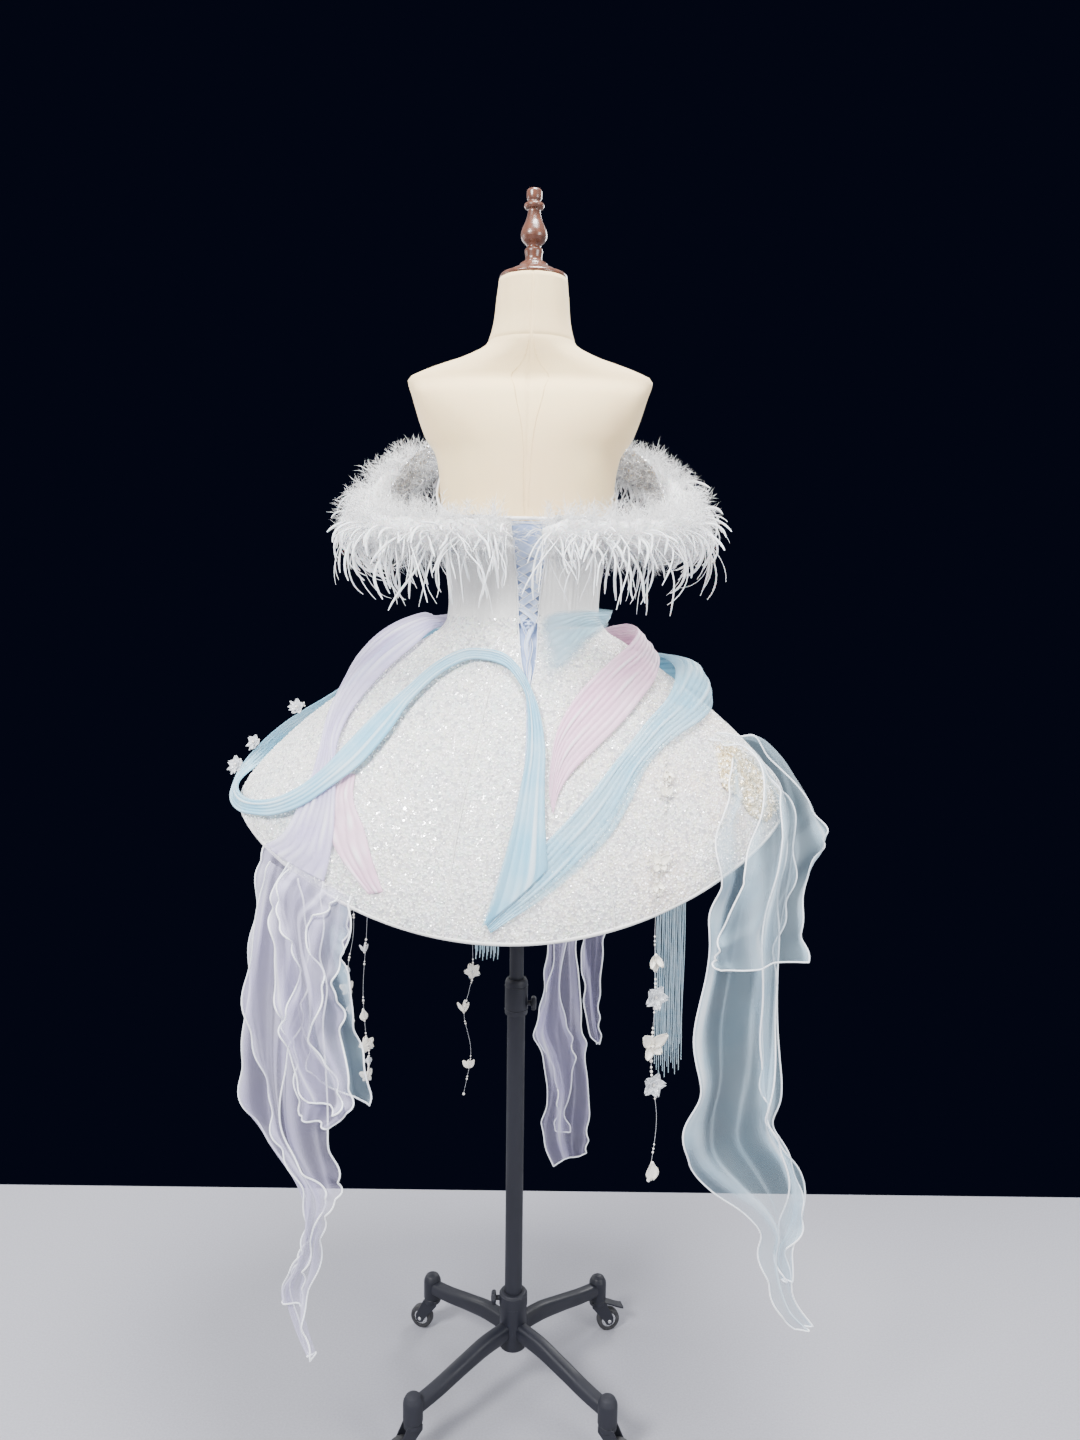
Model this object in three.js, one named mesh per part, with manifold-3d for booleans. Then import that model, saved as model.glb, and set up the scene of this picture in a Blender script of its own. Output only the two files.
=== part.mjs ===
// A mini prom dress on a limbless dress form, on a pole with a four-wheeled base.
// Millimetres, +Z up. The origin is on the floor under the pole. The back of the dress faces -Y.
import * as THREE from "three";
import { mergeVertices } from "three/addons/utils/BufferGeometryUtils.js";
import Module from "manifold-3d";

const wasm = await Module();
wasm.setup();

// Driving sizes
const GAP = 0.3;             // between pieces that meet
const LEAN = 0.0192;         // sideways lean of the form per mm of height
const LEAN_FROM = 1000;
const CENTRE_BACK = 4.2;     // degrees, where the lacing runs
const BODICE_CLEAR = 3;      // from the form to the inside of the bodice
const CLOTH = 2;             // bodice and skirt wall
const ORGANZA = 1.5;         // swag and streamer wall
const WAIST_Z = 1250;
const BODICE_DROP = 300;     // bodice height that one unit of negative s stands for
const HANG = 400;            // hanging height that one unit of s past the hem stands for
const WAIST = { x: 5, side: 117, depth: 96 };
const HEM = { x: -8, side: 415, depth: 303, z: 992, dip: 141 };
const BELL = 1.416;          // how fast the skirt swings out below the waist
const FORM_BOTTOM = 1060;
const SOCKET_TOP = 1112;     // how far the pole's socket reaches up into the form
const NECK_TOP = 1757;
const LEG_END = 207;         // from the pole to each caster
const WHEEL = { r: 20, width: 15, trail: 20 };
const TUBE = { outer: 14, bore: 11.4, pole: 11, bottom: 100, collar: 640, top: 699, collarR: 18 };

// Small helpers
const rad = (d) => (d * Math.PI) / 180;
const mix = (a, b, t) => a + (b - a) * t;
function smooth(a, b, x) {
  const t = Math.min(1, Math.max(0, (x - a) / (b - a)));
  return t * t * (3 - 2 * t);
}
const V = (x, y, z) => new THREE.Vector3(x, y, z);
const named = (columns, rows) => rows.map((r) => Object.fromEntries(columns.map((c, i) => [c, r[i] ?? 0])));

// A column of a table at x, with smooth slopes and no overshoot
function column(rows, key, name, x) {
  const n = rows.length;
  if (x <= rows[0][key]) return rows[0][name];
  if (x >= rows[n - 1][key]) return rows[n - 1][name];
  let i = 0;
  while (rows[i + 1][key] < x) i++;
  const slope = (k) => (rows[k + 1][name] - rows[k][name]) / (rows[k + 1][key] - rows[k][key]);
  const tangent = (k) => {
    if (k === 0) return slope(0);
    if (k === n - 1) return slope(n - 2);
    const a = slope(k - 1), b = slope(k);
    return a * b <= 0 ? 0 : (2 * a * b) / (a + b);
  };
  const h = rows[i + 1][key] - rows[i][key], t = (x - rows[i][key]) / h;
  return (2 * t ** 3 - 3 * t ** 2 + 1) * rows[i][name] + (t ** 3 - 2 * t ** 2 + t) * h * tangent(i)
    + (-2 * t ** 3 + 3 * t ** 2) * rows[i + 1][name] + (t ** 3 - t ** 2) * h * tangent(i + 1);
}

// Form: half width, depth to the back, depth to the front and squareness at each height
const FORM = named(["z", "side", "back", "front", "square"], [
  [1060, 150, 105, 105, 2], [1100, 165, 115, 117, 2], [1180, 145, 106, 108, 2], [1250, 112, 91, 92, 2],
  [1285, 108, 84, 88, 2], [1340, 113, 88, 98, 2], [1400, 125, 98, 114, 2], [1440, 129, 98, 123, 2],
  [1465, 131, 97, 126, 2.1], [1500, 137, 95, 124, 2.2], [1530, 155, 92, 112, 2.4], [1587, 174, 74, 78, 3],
  [1611, 181, 52, 54, 3],
  [1628, 150, 53, 55, 2.4], [1645, 100, 56, 58, 2.1], [1663, 67, 58, 60, 2], [1700, 56, 54, 54, 2],
  [1730, 53, 52, 52, 2], [1757, 50, 50, 50, 2],
]);
const axisX = (z) => Math.max(0, z - LEAN_FROM) * LEAN;
function formPoint(phi, z) {
  const c = Math.cos(rad(phi)), s = Math.sin(rad(phi));
  const power = 2 / column(FORM, "z", "square", z);
  const side = column(FORM, "z", "side", z), depth = column(FORM, "z", c > 0 ? "back" : "front", z);
  const x = axisX(z) + side * Math.sign(s) * Math.abs(s) ** power;
  return V(x, -depth * Math.sign(c) * Math.abs(c) ** power, z);
}

// Skirt: a bell from the waist to a hem that dips at the back and the front, then a straight drop
function skirtPoint(phi, s) {
  const c = Math.cos(rad(phi)), h = Math.min(s, 1), f = 1 - Math.sign(1 - h) * Math.abs(1 - h) ** BELL;
  const hemZ = HEM.z - HEM.dip * c * c;
  return V(mix(WAIST.x, HEM.x, f) + mix(WAIST.side, HEM.side, f) * Math.sin(rad(phi)),
    -mix(WAIST.depth, HEM.depth, f) * c, mix(WAIST_Z, hemZ, h) - Math.max(0, s - 1) * HANG);
}

// Outward direction of a surface at (phi, s)
function outward(point, phi, s) {
  const e = 0.002;
  const across = point(phi + 0.2, s).sub(point(phi - 0.2, s));
  const down = point(phi, s + e).sub(point(phi, s - e));
  const n = across.cross(down).normalize();
  return n.dot(V(Math.sin(rad(phi)), -Math.cos(rad(phi)), 0.3)) < 0 ? n.negate() : n;
}

// Outer face of the dress at angle phi (0 is the back, 90 the wearer's right) and position s
// (0 at the waist, 1 at the hem, more below it, less on the bodice), moved out by lift
const bodiceFace = (phi, s) => formPoint(phi, WAIST_Z - s * BODICE_DROP);
function dress(phi, s, lift) {
  const blend = smooth(-0.05, 0.05, s);
  const n = V(0, 0, 0);
  if (blend < 1) n.addScaledVector(outward(bodiceFace, phi, Math.min(s, 0)), 1 - blend);
  if (blend > 0) n.addScaledVector(outward(skirtPoint, phi, Math.max(s, 0.01)), blend);
  n.normalize();
  const p = s < 0 ? bodiceFace(phi, s).addScaledVector(outward(bodiceFace, phi, s), BODICE_CLEAR + CLOTH)
    : skirtPoint(phi, s);
  return p.addScaledVector(n, lift);
}

// A mesh from points and triangles, turned so that its faces point out
function solid(points, faces) {
  let volume = 0;
  for (const [a, b, c] of faces) volume += points[a].dot(points[b].clone().cross(points[c]));
  const g = new THREE.BufferGeometry();
  g.setAttribute("position", new THREE.Float32BufferAttribute(points.flatMap((p) => [p.x, p.y, p.z]), 3));
  g.setIndex(faces.flatMap(([a, b, c]) => (volume < 0 ? [a, c, b] : [a, b, c])));
  return g;
}

// Cloth wall between two faces given over a grid, with a rim all round
function wall(nu, nv, outer, inner) {
  const points = [], faces = [], n = (nu + 1) * (nv + 1);
  for (const face of [outer, inner])
    for (let i = 0; i <= nu; i++) for (let j = 0; j <= nv; j++) points.push(face(i / nu, j / nv));
  const at = (k, i, j) => k * n + i * (nv + 1) + j;
  const quad = (a, b, c, d) => faces.push([a, b, c], [a, c, d]);
  for (let i = 0; i < nu; i++) for (let j = 0; j < nv; j++) {
    quad(at(0, i, j), at(0, i + 1, j), at(0, i + 1, j + 1), at(0, i, j + 1));
    quad(at(1, i, j), at(1, i, j + 1), at(1, i + 1, j + 1), at(1, i + 1, j));
  }
  for (let i = 0; i < nu; i++) {
    quad(at(0, i, 0), at(1, i, 0), at(1, i + 1, 0), at(0, i + 1, 0));
    quad(at(0, i, nv), at(0, i + 1, nv), at(1, i + 1, nv), at(1, i, nv));
  }
  for (let j = 0; j < nv; j++) {
    quad(at(0, 0, j), at(0, 0, j + 1), at(1, 0, j + 1), at(1, 0, j));
    quad(at(0, nu, j), at(1, nu, j), at(1, nu, j + 1), at(0, nu, j + 1));
  }
  return solid(points, faces);
}

// Cloth lying on the dress: place(u, v) gives phi, s and lift of its outer face
function laid(nu, nv, place, thick) {
  const face = (under) => (u, v) => {
    const [phi, s, lift] = place(u, v);
    return dress(phi, s, lift - under);
  };
  return wall(nu, nv, face(0), face(thick));
}

// Tapered rod along points, with a radius at each; a radius of 0 ends it in a tip
function rod(path, radii, sides, flat = 1) {
  const points = [], rings = [], faces = [];
  path.forEach((p, i) => {
    if (radii[i] === 0) { rings.push([points.length]); points.push(p.clone()); return; }
    const t = path[Math.min(i + 1, path.length - 1)].clone().sub(path[Math.max(i - 1, 0)]).normalize();
    const a = (Math.abs(t.z) > 0.9 ? V(1, 0, 0) : V(0, 0, 1)).cross(t).normalize(), b = t.clone().cross(a);
    rings.push(Array.from({ length: sides }, (_, k) => {
      const w = (2 * Math.PI * (k + 0.5)) / sides;
      const q = p.clone().addScaledVector(a, radii[i] * Math.cos(w));
      points.push(q.addScaledVector(b, radii[i] * flat * Math.sin(w)));
      return points.length - 1;
    }));
  });
  for (let i = 0; i + 1 < rings.length; i++) for (let k = 0; k < sides; k++) {
    const m = (k + 1) % sides, r = rings[i], q = rings[i + 1];
    if (q.length === 1) faces.push([r[k], r[m], q[0]]);
    else if (r.length === 1) faces.push([r[0], q[m], q[k]]);
    else faces.push([r[k], r[m], q[m]], [r[k], q[m], q[k]]);
  }
  for (const r of [rings[0], rings[rings.length - 1]]) if (r.length > 1)
    for (let k = 1; k + 1 < r.length; k++) {
      faces.push(r === rings[0] ? [r[0], r[k + 1], r[k]] : [r[0], r[k], r[k + 1]]);
    }
  return solid(points, faces);
}

// Turned shape from a closed profile of [radius, height], with a flat side facing -Y
function turned(profile, sides) {
  const line = profile.map(([r, z]) => new THREE.Vector2(r, z));
  const g = new THREE.LatheGeometry(line, sides, Math.PI / sides);
  return g.rotateX(Math.PI / 2);
}

// Joins and cuts
function toManifold(geometry) {
  const g = geometry.clone();
  g.deleteAttribute("normal");
  g.deleteAttribute("uv");
  const m = mergeVertices(g, 1e-4), index = m.index.array, keep = [];
  for (let i = 0; i < index.length; i += 3) {
    const [a, b, c] = index.slice(i, i + 3);
    if (a !== b && b !== c && a !== c) keep.push(a, b, c);
  }
  const vertProperties = new Float32Array(m.attributes.position.array);
  return new wasm.Manifold(new wasm.Mesh({ numProp: 3, vertProperties, triVerts: new Uint32Array(keep) }));
}
function fromManifold(m) {
  const mesh = m.getMesh(), g = new THREE.BufferGeometry();
  g.setAttribute("position", new THREE.BufferAttribute(new Float32Array(mesh.vertProperties), 3));
  g.setIndex(Array.from(mesh.triVerts));
  return g;
}
const largest = (m) => m.decompose().reduce((a, b) => (b.volume() > a.volume() ? b : a));
const join = (list) => fromManifold(largest(list.map(toManifold).reduce((a, b) => a.add(b))));
function cut(body, list) {
  const left = list.map(toManifold).reduce((a, b) => a.subtract(b), toManifold(body));
  return fromManifold(left);
}

// The finished object
const object = new THREE.Group();
const LOOK = {
  canvas: ["#efe3c6", 0.85, 0], walnut: ["#4a2a20", 0.4, 0], satin: ["#f1efe9", 0.5, 0],
  glitter: ["#f0edec", 0.45, 0], ribbon: ["#bfcde4", 0.5, 0], feather: ["#fbfbfb", 0.9, 0],
  sequin: ["#d6d8dc", 0.3, 0.4], aqua: ["#a3d2e4", 0.6, 0], lavender: ["#cfc8e4", 0.6, 0],
  pink: ["#efd8e6", 0.6, 0], haze: ["#c9c6e0", 0.6, 0], sky: ["#b5d6e6", 0.6, 0],
  champagne: ["#e6dcc2", 0.35, 0.1], petal: ["#f3eee0", 0.5, 0], string: ["#a9cbdc", 0.6, 0],
  powder: ["#2e3036", 0.6, 0.3], wheel: ["#1d1e21", 0.6, 0],
};
function add(name, geometry, look, at = [0, 0, 0], turn = 0) {
  const [color, roughness, metalness] = LOOK[look];
  const mesh = new THREE.Mesh(geometry, new THREE.MeshStandardMaterial({ color, roughness, metalness }));
  mesh.name = name;
  mesh.position.set(...at);
  mesh.rotation.z = rad(turn);
  object.add(mesh);
  return mesh;
}

// Form
const FORM_SIDES = 24;
const FORM_RINGS = [1060, 1100, 1145, 1190, 1222, 1250, 1285, 1320, 1360, 1400, 1432, 1465, 1500, 1530,
  1560, 1587, 1611, 1621, 1634, 1648, 1663, 1700, 1757];
{
  const points = [], faces = [];
  for (const z of FORM_RINGS) {
    for (let k = 0; k < FORM_SIDES; k++) points.push(formPoint((360 * k) / FORM_SIDES, z));
  }
  for (let i = 0; i + 1 < FORM_RINGS.length; i++) for (let k = 0; k < FORM_SIDES; k++) {
    const m = (k + 1) % FORM_SIDES, a = i * FORM_SIDES, b = a + FORM_SIDES;
    faces.push([a + k, a + m, b + m], [a + k, b + m, b + k]);
  }
  const top = (FORM_RINGS.length - 1) * FORM_SIDES;
  for (let k = 1; k + 1 < FORM_SIDES; k++) faces.push([0, k + 1, k], [top, top + k, top + k + 1]);
  const below = FORM_BOTTOM - 5;
  const socket = turned([[0, below], [TUBE.bore, below], [TUBE.bore, SOCKET_TOP], [0, SOCKET_TOP]], 16);
  add("form_torso", cut(solid(points, faces), [socket]), "canvas");
}
const neck = [axisX(NECK_TOP), 0, NECK_TOP + GAP];
const NECK_CAP = [[0, 0], [49, 0], [50, 3], [48, 6], [40, 8], [33, 13], [22, 18], [20, 23], [0, 23]];
add("neck_cap", turned(NECK_CAP, 18), "walnut", neck);
const FINIAL = [[0, 23.3], [15, 23.3], [12, 31], [13, 43], [10, 47], [19, 58], [19, 68], [12, 82],
  [9, 96], [15, 103], [9, 111], [11, 116], [11, 126], [8, 127.7], [0, 127.7]];
add("finial", turned(FINIAL, 14), "walnut", neck);

// Bodice
const TOP_EDGE = named(["turn", "z"], [[0, 1405], [35, 1405], [62, 1414], [92, 1446], [120, 1500],
  [142, 1540], [163, 1528], [180, 1497]]);
const topS = (phi) => {
  const turn = Math.abs(((phi - CENTRE_BACK + 540) % 360) - 180);
  return (WAIST_Z - column(TOP_EDGE, "turn", "z", turn)) / BODICE_DROP;
};
const LACE_GAP = named(["s", "half"], [[-0.52, 31], [-0.33, 21.4], [-0.16, 15.4], [0, 13], [0.11, 10],
  [0.22, 0.5], [0.23, GAP / 2], [1, GAP / 2]]);
const sideAt = (s) => (s < 0 ? column(FORM, "z", "side", WAIST_Z - s * BODICE_DROP) + BODICE_CLEAR + CLOTH
  : skirtPoint(90, s).x - mix(WAIST.x, HEM.x, 1 - (1 - Math.min(s, 1)) ** BELL));
const degrees = (mm, s) => (mm / sideAt(s)) * (180 / Math.PI);
const laceEdge = (s, sign) => CENTRE_BACK + sign * degrees(column(LACE_GAP, "s", "half", s), s);
const seam = (phi, s, sign) => phi + sign * degrees(GAP / 2, s) * 1.3;
const BODICE_FOOT = -0.0025;

function bodicePanel(name, from, to, nu, nv, lacing = 0) {
  add(name, laid(nu, nv, (u, w) => {
    const v = w ** 1.3, probe = mix(BODICE_FOOT, topS(mix(from, to, u)), v);
    const a = lacing > 0 ? laceEdge(probe, 1) : seam(from, probe, 1);
    const b = lacing < 0 ? laceEdge(probe, -1) : seam(to, probe, -1);
    const phi = mix(a, b, u);
    return [phi, mix(BODICE_FOOT, topS(phi), v), 0];
  }, CLOTH), "satin");
}
const SEAM = named(["name", "turn"], [["back", 62], ["side", 116]]);
bodicePanel("bodice_back_left", CENTRE_BACK - SEAM[0].turn, CENTRE_BACK, 6, 6, -1);
bodicePanel("bodice_back_right", CENTRE_BACK, CENTRE_BACK + SEAM[0].turn, 6, 6, 1);
bodicePanel("bodice_side_left", CENTRE_BACK - SEAM[1].turn, CENTRE_BACK - SEAM[0].turn, 5, 6);
bodicePanel("bodice_side_right", CENTRE_BACK + SEAM[0].turn, CENTRE_BACK + SEAM[1].turn, 5, 6);
bodicePanel("bodice_front", CENTRE_BACK + SEAM[1].turn, CENTRE_BACK + 360 - SEAM[1].turn, 12, 10);

// Modesty panel behind the lacing
const MODESTY_STEPS = [-0.505, -0.4, -0.3, -0.2, -0.1, 0, 0.11, 0.2];
add("modesty_panel", laid(4, MODESTY_STEPS.length - 1, (u, v) => {
  const s = MODESTY_STEPS[Math.round(v * (MODESTY_STEPS.length - 1))];
  const half = column(LACE_GAP, "s", "half", s) + 6;
  return [CENTRE_BACK + degrees(mix(-half, half, u), s), s, -2.9];
}, 1.2), "ribbon");

// Plate cut to a pattern of flat cells on the dress; place gives phi, s and lift of each corner
function plate(corners, cells, place, thick) {
  const points = [], faces = [], n = corners.length, edges = new Map();
  for (const inset of [0, thick]) for (const c of corners) {
    const [phi, s, lift] = place(...c);
    points.push(dress(phi, s, lift - inset));
  }
  for (const given of cells) {
    const area = given.reduce((sum, a, k) => {
      const [p, q] = [corners[a], corners[given[(k + 1) % given.length]]];
      return sum + p[0] * q[1] - p[1] * q[0];
    }, 0), cell = area < 0 ? [...given].reverse() : given;
    for (let k = 1; k + 1 < cell.length; k++)
      faces.push([cell[0], cell[k], cell[k + 1]], [n + cell[0], n + cell[k + 1], n + cell[k]]);
    cell.forEach((a, k) => {
      const b = cell[(k + 1) % cell.length];
      edges.set(a + "," + b, [a, b]);
    });
  }
  for (const [a, b] of edges.values()) {
    if (!edges.has(b + "," + a)) faces.push([b, a, n + a], [b, n + a, n + b]);
  }
  return solid(points, faces);
}

// Lacing: crossed ribbons in the gap, ending in a twist over the waist
const LACE = { crossings: 6, width: 8, outer: -0.1, thick: 1.4, from: -0.44, to: -0.03 };
{
  const corners = [], cells = [];
  const step = (LACE.to - LACE.from) / LACE.crossings;
  const w = LACE.width / BODICE_DROP / 2;
  const reach = (s) => degrees(column(LACE_GAP, "s", "half", s) - GAP, s);
  const inGap = (t, s) => [CENTRE_BACK + t * reach(s), s, LACE.outer];
  const corner = (t, s) => corners.push([t, s]) - 1;
  const knots = [];
  for (let i = 0; i <= LACE.crossings; i++) {
    const s = LACE.from + step * i;
    knots.push([-1, 1].map((t) => [corner(t, s - w), corner(t, s + w), corner(t * 0.86, s)]));
  }
  for (let i = 0; i < LACE.crossings; i++) {
    const s = LACE.from + step * (i + 0.5), k = w / (step / 2);
    const [top, right, foot, left] = [corner(0, s - w), corner(k, s), corner(0, s + w), corner(-k, s)];
    const [[, tl, tlc], [, tr, trc]] = knots[i], [[bl, , blc], [br, , brc]] = knots[i + 1];
    cells.push([top, right, foot, left], [tl, tlc, top, left], [top, trc, tr, right],
      [right, br, brc, foot],
      [foot, blc, bl, left]);
  }
  for (const pair of knots) cells.push(...pair);
  const parts = [plate(corners, cells, inGap, LACE.thick)];
  for (const way of [-1, 1]) {
    const path = [], radii = [];
    for (let i = 0; i <= 6; i++) {
      const s = mix(-0.045, 0.2, i / 6), swing = Math.cos(i * 1.6) * mix(4.5, 0.8, i / 6);
      path.push(dress(CENTRE_BACK + degrees(way * swing, s), s, 1.5 + 0.8 * way * Math.sin(i * 1.6)));
      radii.push(mix(3, 1.4, i / 6));
    }
    parts.push(rod(path, radii, 5));
  }
  add("lacing", join(parts), "ribbon");
}
const TAIL = named(["phi", "s"], [[3.7, 0.232], [3.9, 0.3], [3.6, 0.4], [3.1, 0.5], [2.8, 0.58]]);
const TAIL_TOP = TAIL[0].s;
const TAIL_END = TAIL[TAIL.length - 1].s;
const TAIL_HALF = 2.6;
for (const [side, shift, stretch] of [["left", 0, 1], ["right", 2.2, 0.72]]) {
  add("lace_tail_" + side, laid(5, 1, (u, v) => {
    const t = mix(TAIL_TOP, TAIL_END, u);
    const s = TAIL_TOP + (t - TAIL_TOP) * stretch;
    return [column(TAIL, "s", "phi", t) + shift + degrees(mix(-TAIL_HALF, TAIL_HALF, v), s), s, 1.8];
  }, 1.4), "ribbon");
}

// Skirt gores
const GORE_STEPS = [0, 0.11, 0.22, 0.34, 0.46, 0.58, 0.7, 0.8, 0.9, 1];
function gore(name, from, to, nu, lacing = 0) {
  add(name, laid(nu, GORE_STEPS.length - 1, (u, v) => {
    const s = GORE_STEPS[Math.round(v * (GORE_STEPS.length - 1))];
    const a = lacing > 0 ? laceEdge(s, 1) : seam(from, s, 1);
    const b = lacing < 0 ? laceEdge(s, -1) : seam(to, s, -1);
    return [mix(a, b, u), s, 0];
  }, CLOTH), "glitter");
}
const GORE = { back: 15.5, side: 85, front: 150 };
gore("skirt_back_centre_left", CENTRE_BACK - GORE.back, CENTRE_BACK, 2, -1);
gore("skirt_back_centre_right", CENTRE_BACK, CENTRE_BACK + GORE.back, 2, 1);
gore("skirt_back_side_left", CENTRE_BACK - GORE.side, CENTRE_BACK - GORE.back, 6);
gore("skirt_back_side_right", CENTRE_BACK + GORE.back, CENTRE_BACK + GORE.side, 6);
gore("skirt_front_side_left", CENTRE_BACK - GORE.front, CENTRE_BACK - GORE.side, 6);
gore("skirt_front_side_right", CENTRE_BACK + GORE.side, CENTRE_BACK + GORE.front, 6);
gore("skirt_front_centre", CENTRE_BACK + GORE.front, CENTRE_BACK + 360 - GORE.front, 6);

// Off-shoulder bands and their feather trim; x is measured from the axis of the form
const BAND = { height: 54, thick: 2.5 };
const BAND_LINE = named(["x", "y", "z"], [[43, -98.6, 1383], [80, -99, 1382], [115, -95, 1381],
  [150, -86, 1382], [180, -70, 1386], [200, -42, 1395], [208, -8, 1410], [205, 25, 1435],
  [194, 55, 1465], [174, 80, 1492], [150, 95, 1507],
  [124, 98, 1514]]);
const FLUFF = { out: 27, tall: 44, strands: 36, root: 2.6 };
function bandAt(side) {
  const line = new THREE.CatmullRomCurve3(BAND_LINE.map((r) => V(axisX(r.z) + side * r.x, r.y, r.z)));
  return (u) => {
    const p = line.getPoint(u), t = line.getTangent(u);
    const out = V(t.y, -t.x, 0).normalize().multiplyScalar(side);
    return { p, t, out };
  };
}
const CHANCE = { factor: 16807, limit: 2147483647 };
let seed = 7;
function chance() {
  seed = (seed * CHANCE.factor) % CHANCE.limit;
  return seed / CHANCE.limit;
}
for (const [name, side] of [["left", -1], ["right", 1]]) {
  const at = bandAt(side);
  const face = (away) => (u, v) => {
    const { p, out } = at(u);
    return p.addScaledVector(out, away).add(V(0, 0, (v - 0.5) * BAND.height));
  };
  add("sleeve_band_" + name, wall(14, 1, face(BAND.thick / 2), face(-BAND.thick / 2)), "sequin");
  const core = (u) => {
    const { p, out } = at(u);
    const size = 0.55 + 0.45 * Math.sin(Math.PI * Math.min(1, Math.max(0, u * 0.9 + 0.08))) ** 0.5;
    return { c: p.addScaledVector(out, BAND.thick / 2 + 0.4 + FLUFF.out * size), out, size };
  };
  const rings = 12, sides = 8, points = [], faces = [];
  for (let i = 0; i <= rings; i++) {
    const { c, out, size } = core(i / rings);
    for (let k = 0; k < sides; k++) {
      const w = (2 * Math.PI * (k + 0.5)) / sides;
      const q = c.clone().addScaledVector(out, FLUFF.out * size * Math.cos(w));
      points.push(q.add(V(0, 0, FLUFF.tall * size * Math.sin(w))));
    }
  }
  for (let i = 0; i < rings; i++) for (let k = 0; k < sides; k++) {
    const m = (k + 1) % sides, a = i * sides, b = a + sides;
    faces.push([a + k, a + m, b + m], [a + k, b + m, b + k]);
  }
  const last = rings * sides;
  for (let k = 1; k + 1 < sides; k++) faces.push([0, k + 1, k], [last, last + k, last + k + 1]);
  const parts = [solid(points, faces)];
  for (let i = 0; i < FLUFF.strands; i++) {
    const u = (i + 0.2 + 0.6 * chance()) / FLUFF.strands, { c, out, size } = core(u), { t } = at(u);
    const drop = chance() ** 0.5, tilt = rad(mix(-35, 80, drop));
    const reach = mix(44, 92, drop) * mix(0.9, 1.15, chance()) * mix(0.8, 1, size);
    const way = out.clone().multiplyScalar(Math.cos(tilt)).add(V(0, 0, -Math.sin(tilt)))
      .addScaledVector(t, mix(-0.35, 0.35, chance())).normalize();
    const floor = Math.abs(c.x) < 205 ? 1297 : 1278;
    const path = [0, 0.55, 1].map((k) => {
      const p = c.clone().addScaledVector(way, reach * k);
      p.z = Math.max(p.z - 34 * k * k, mix(c.z, floor + 12 * chance(), k));
      return p;
    });
    parts.push(rod(path, [FLUFF.root, 1.9, 0], 3));
  }
  add("feather_trim_" + name, join(parts), "feather");
}

// Swags and streamers: each row gives the two edges as phi, s and lift, and the crown between them
const STRIP = ["phiA", "sA", "liftA", "phiB", "sB", "liftB", "crown"];
function strip(name, look, table, { along, across, folds = 0, depth = 0, thick = ORGANZA }) {
  const rows = named(STRIP, table);
  const A = new THREE.CatmullRomCurve3(rows.map((r) => V(r.phiA, r.sA, r.liftA)), false, "catmullrom", 0.5);
  const B = new THREE.CatmullRomCurve3(rows.map((r) => V(r.phiB, r.sB, r.liftB)), false, "catmullrom", 0.5);
  const C = new THREE.CatmullRomCurve3(rows.map((r) => V(r.crown, 0, 0)), false, "catmullrom", 0.5);
  add(name, laid(along, across, (u, v) => {
    const a = A.getPoint(u), b = B.getPoint(u), grow = smooth(0.03, 0.3, u);
    const wave = depth * grow * Math.sin(2 * Math.PI * (folds * v + 0.22 * Math.sin(5 * u)));
    const crown = C.getPoint(u).x * 4 * v * (1 - v);
    return [mix(a.x, b.x, v), mix(a.y, b.y, v), mix(a.z, b.z, v) + crown + wave];
  }, thick), look);
}

strip("swag_blue_left", "aqua", [
  [-128, 0.03, 2, -128, 0.11, 2], [-113, 0.05, 28, -116, 0.14, 14], [-107, 0.13, 33, -112, 0.24, 15],
  [-103, 0.25, 25, -109, 0.37, 12], [-100, 0.38, 12, -106, 0.49, 8], [-98, 0.48, 13, -104, 0.6, 8],
  [-97, 0.58, 19, -101, 0.7, 9], [-96, 0.68, 23, -98, 0.78, 7], [-95, 0.8, 25, -96, 0.85, 6],
  [-92, 0.91, 23, -92, 0.89, 7], [-87, 0.98, 16, -86, 0.925, 9], [-78, 0.995, 12, -79, 0.93, 10],
  [-68, 0.97, 11, -71, 0.915, 11], [-60, 0.915, 11, -64, 0.88, 11], [-54, 0.86, 11, -57, 0.81, 11],
  [-48, 0.77, 11, -52, 0.72, 11], [-43.5, 0.66, 11, -49, 0.62, 11], [-39.5, 0.55, 11, -47.5, 0.5, 11],
  [-37.5, 0.42, 11, -46, 0.38, 11], [-37.5, 0.31, 10, -43, 0.27, 10], [-34, 0.2, 9, -39.5, 0.165, 9],
  [-26, 0.135, 8, -31, 0.1, 8], [-16, 0.123, 7, -18, 0.085, 7], [-6, 0.142, 7, -7, 0.1, 7],
  [0, 0.19, 7, 1, 0.15, 7], [2.9, 0.24, 6.5, 5.3, 0.215, 6.5], [3.6, 0.32, 6, 7.8, 0.29, 6],
  [3.2, 0.42, 6, 8.7, 0.4, 6], [1.9, 0.52, 6, 8, 0.51, 6], [0.4, 0.64, 6, 7.6, 0.62, 6],
  [-1.2, 0.75, 6, 7.6, 0.7, 6], [-2.9, 0.86, 5.6, 7.7, 0.755, 5.6], [-4.5, 0.95, 5.4, 7.5, 0.775, 5.4],
], { along: 44, across: 2 });
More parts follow.
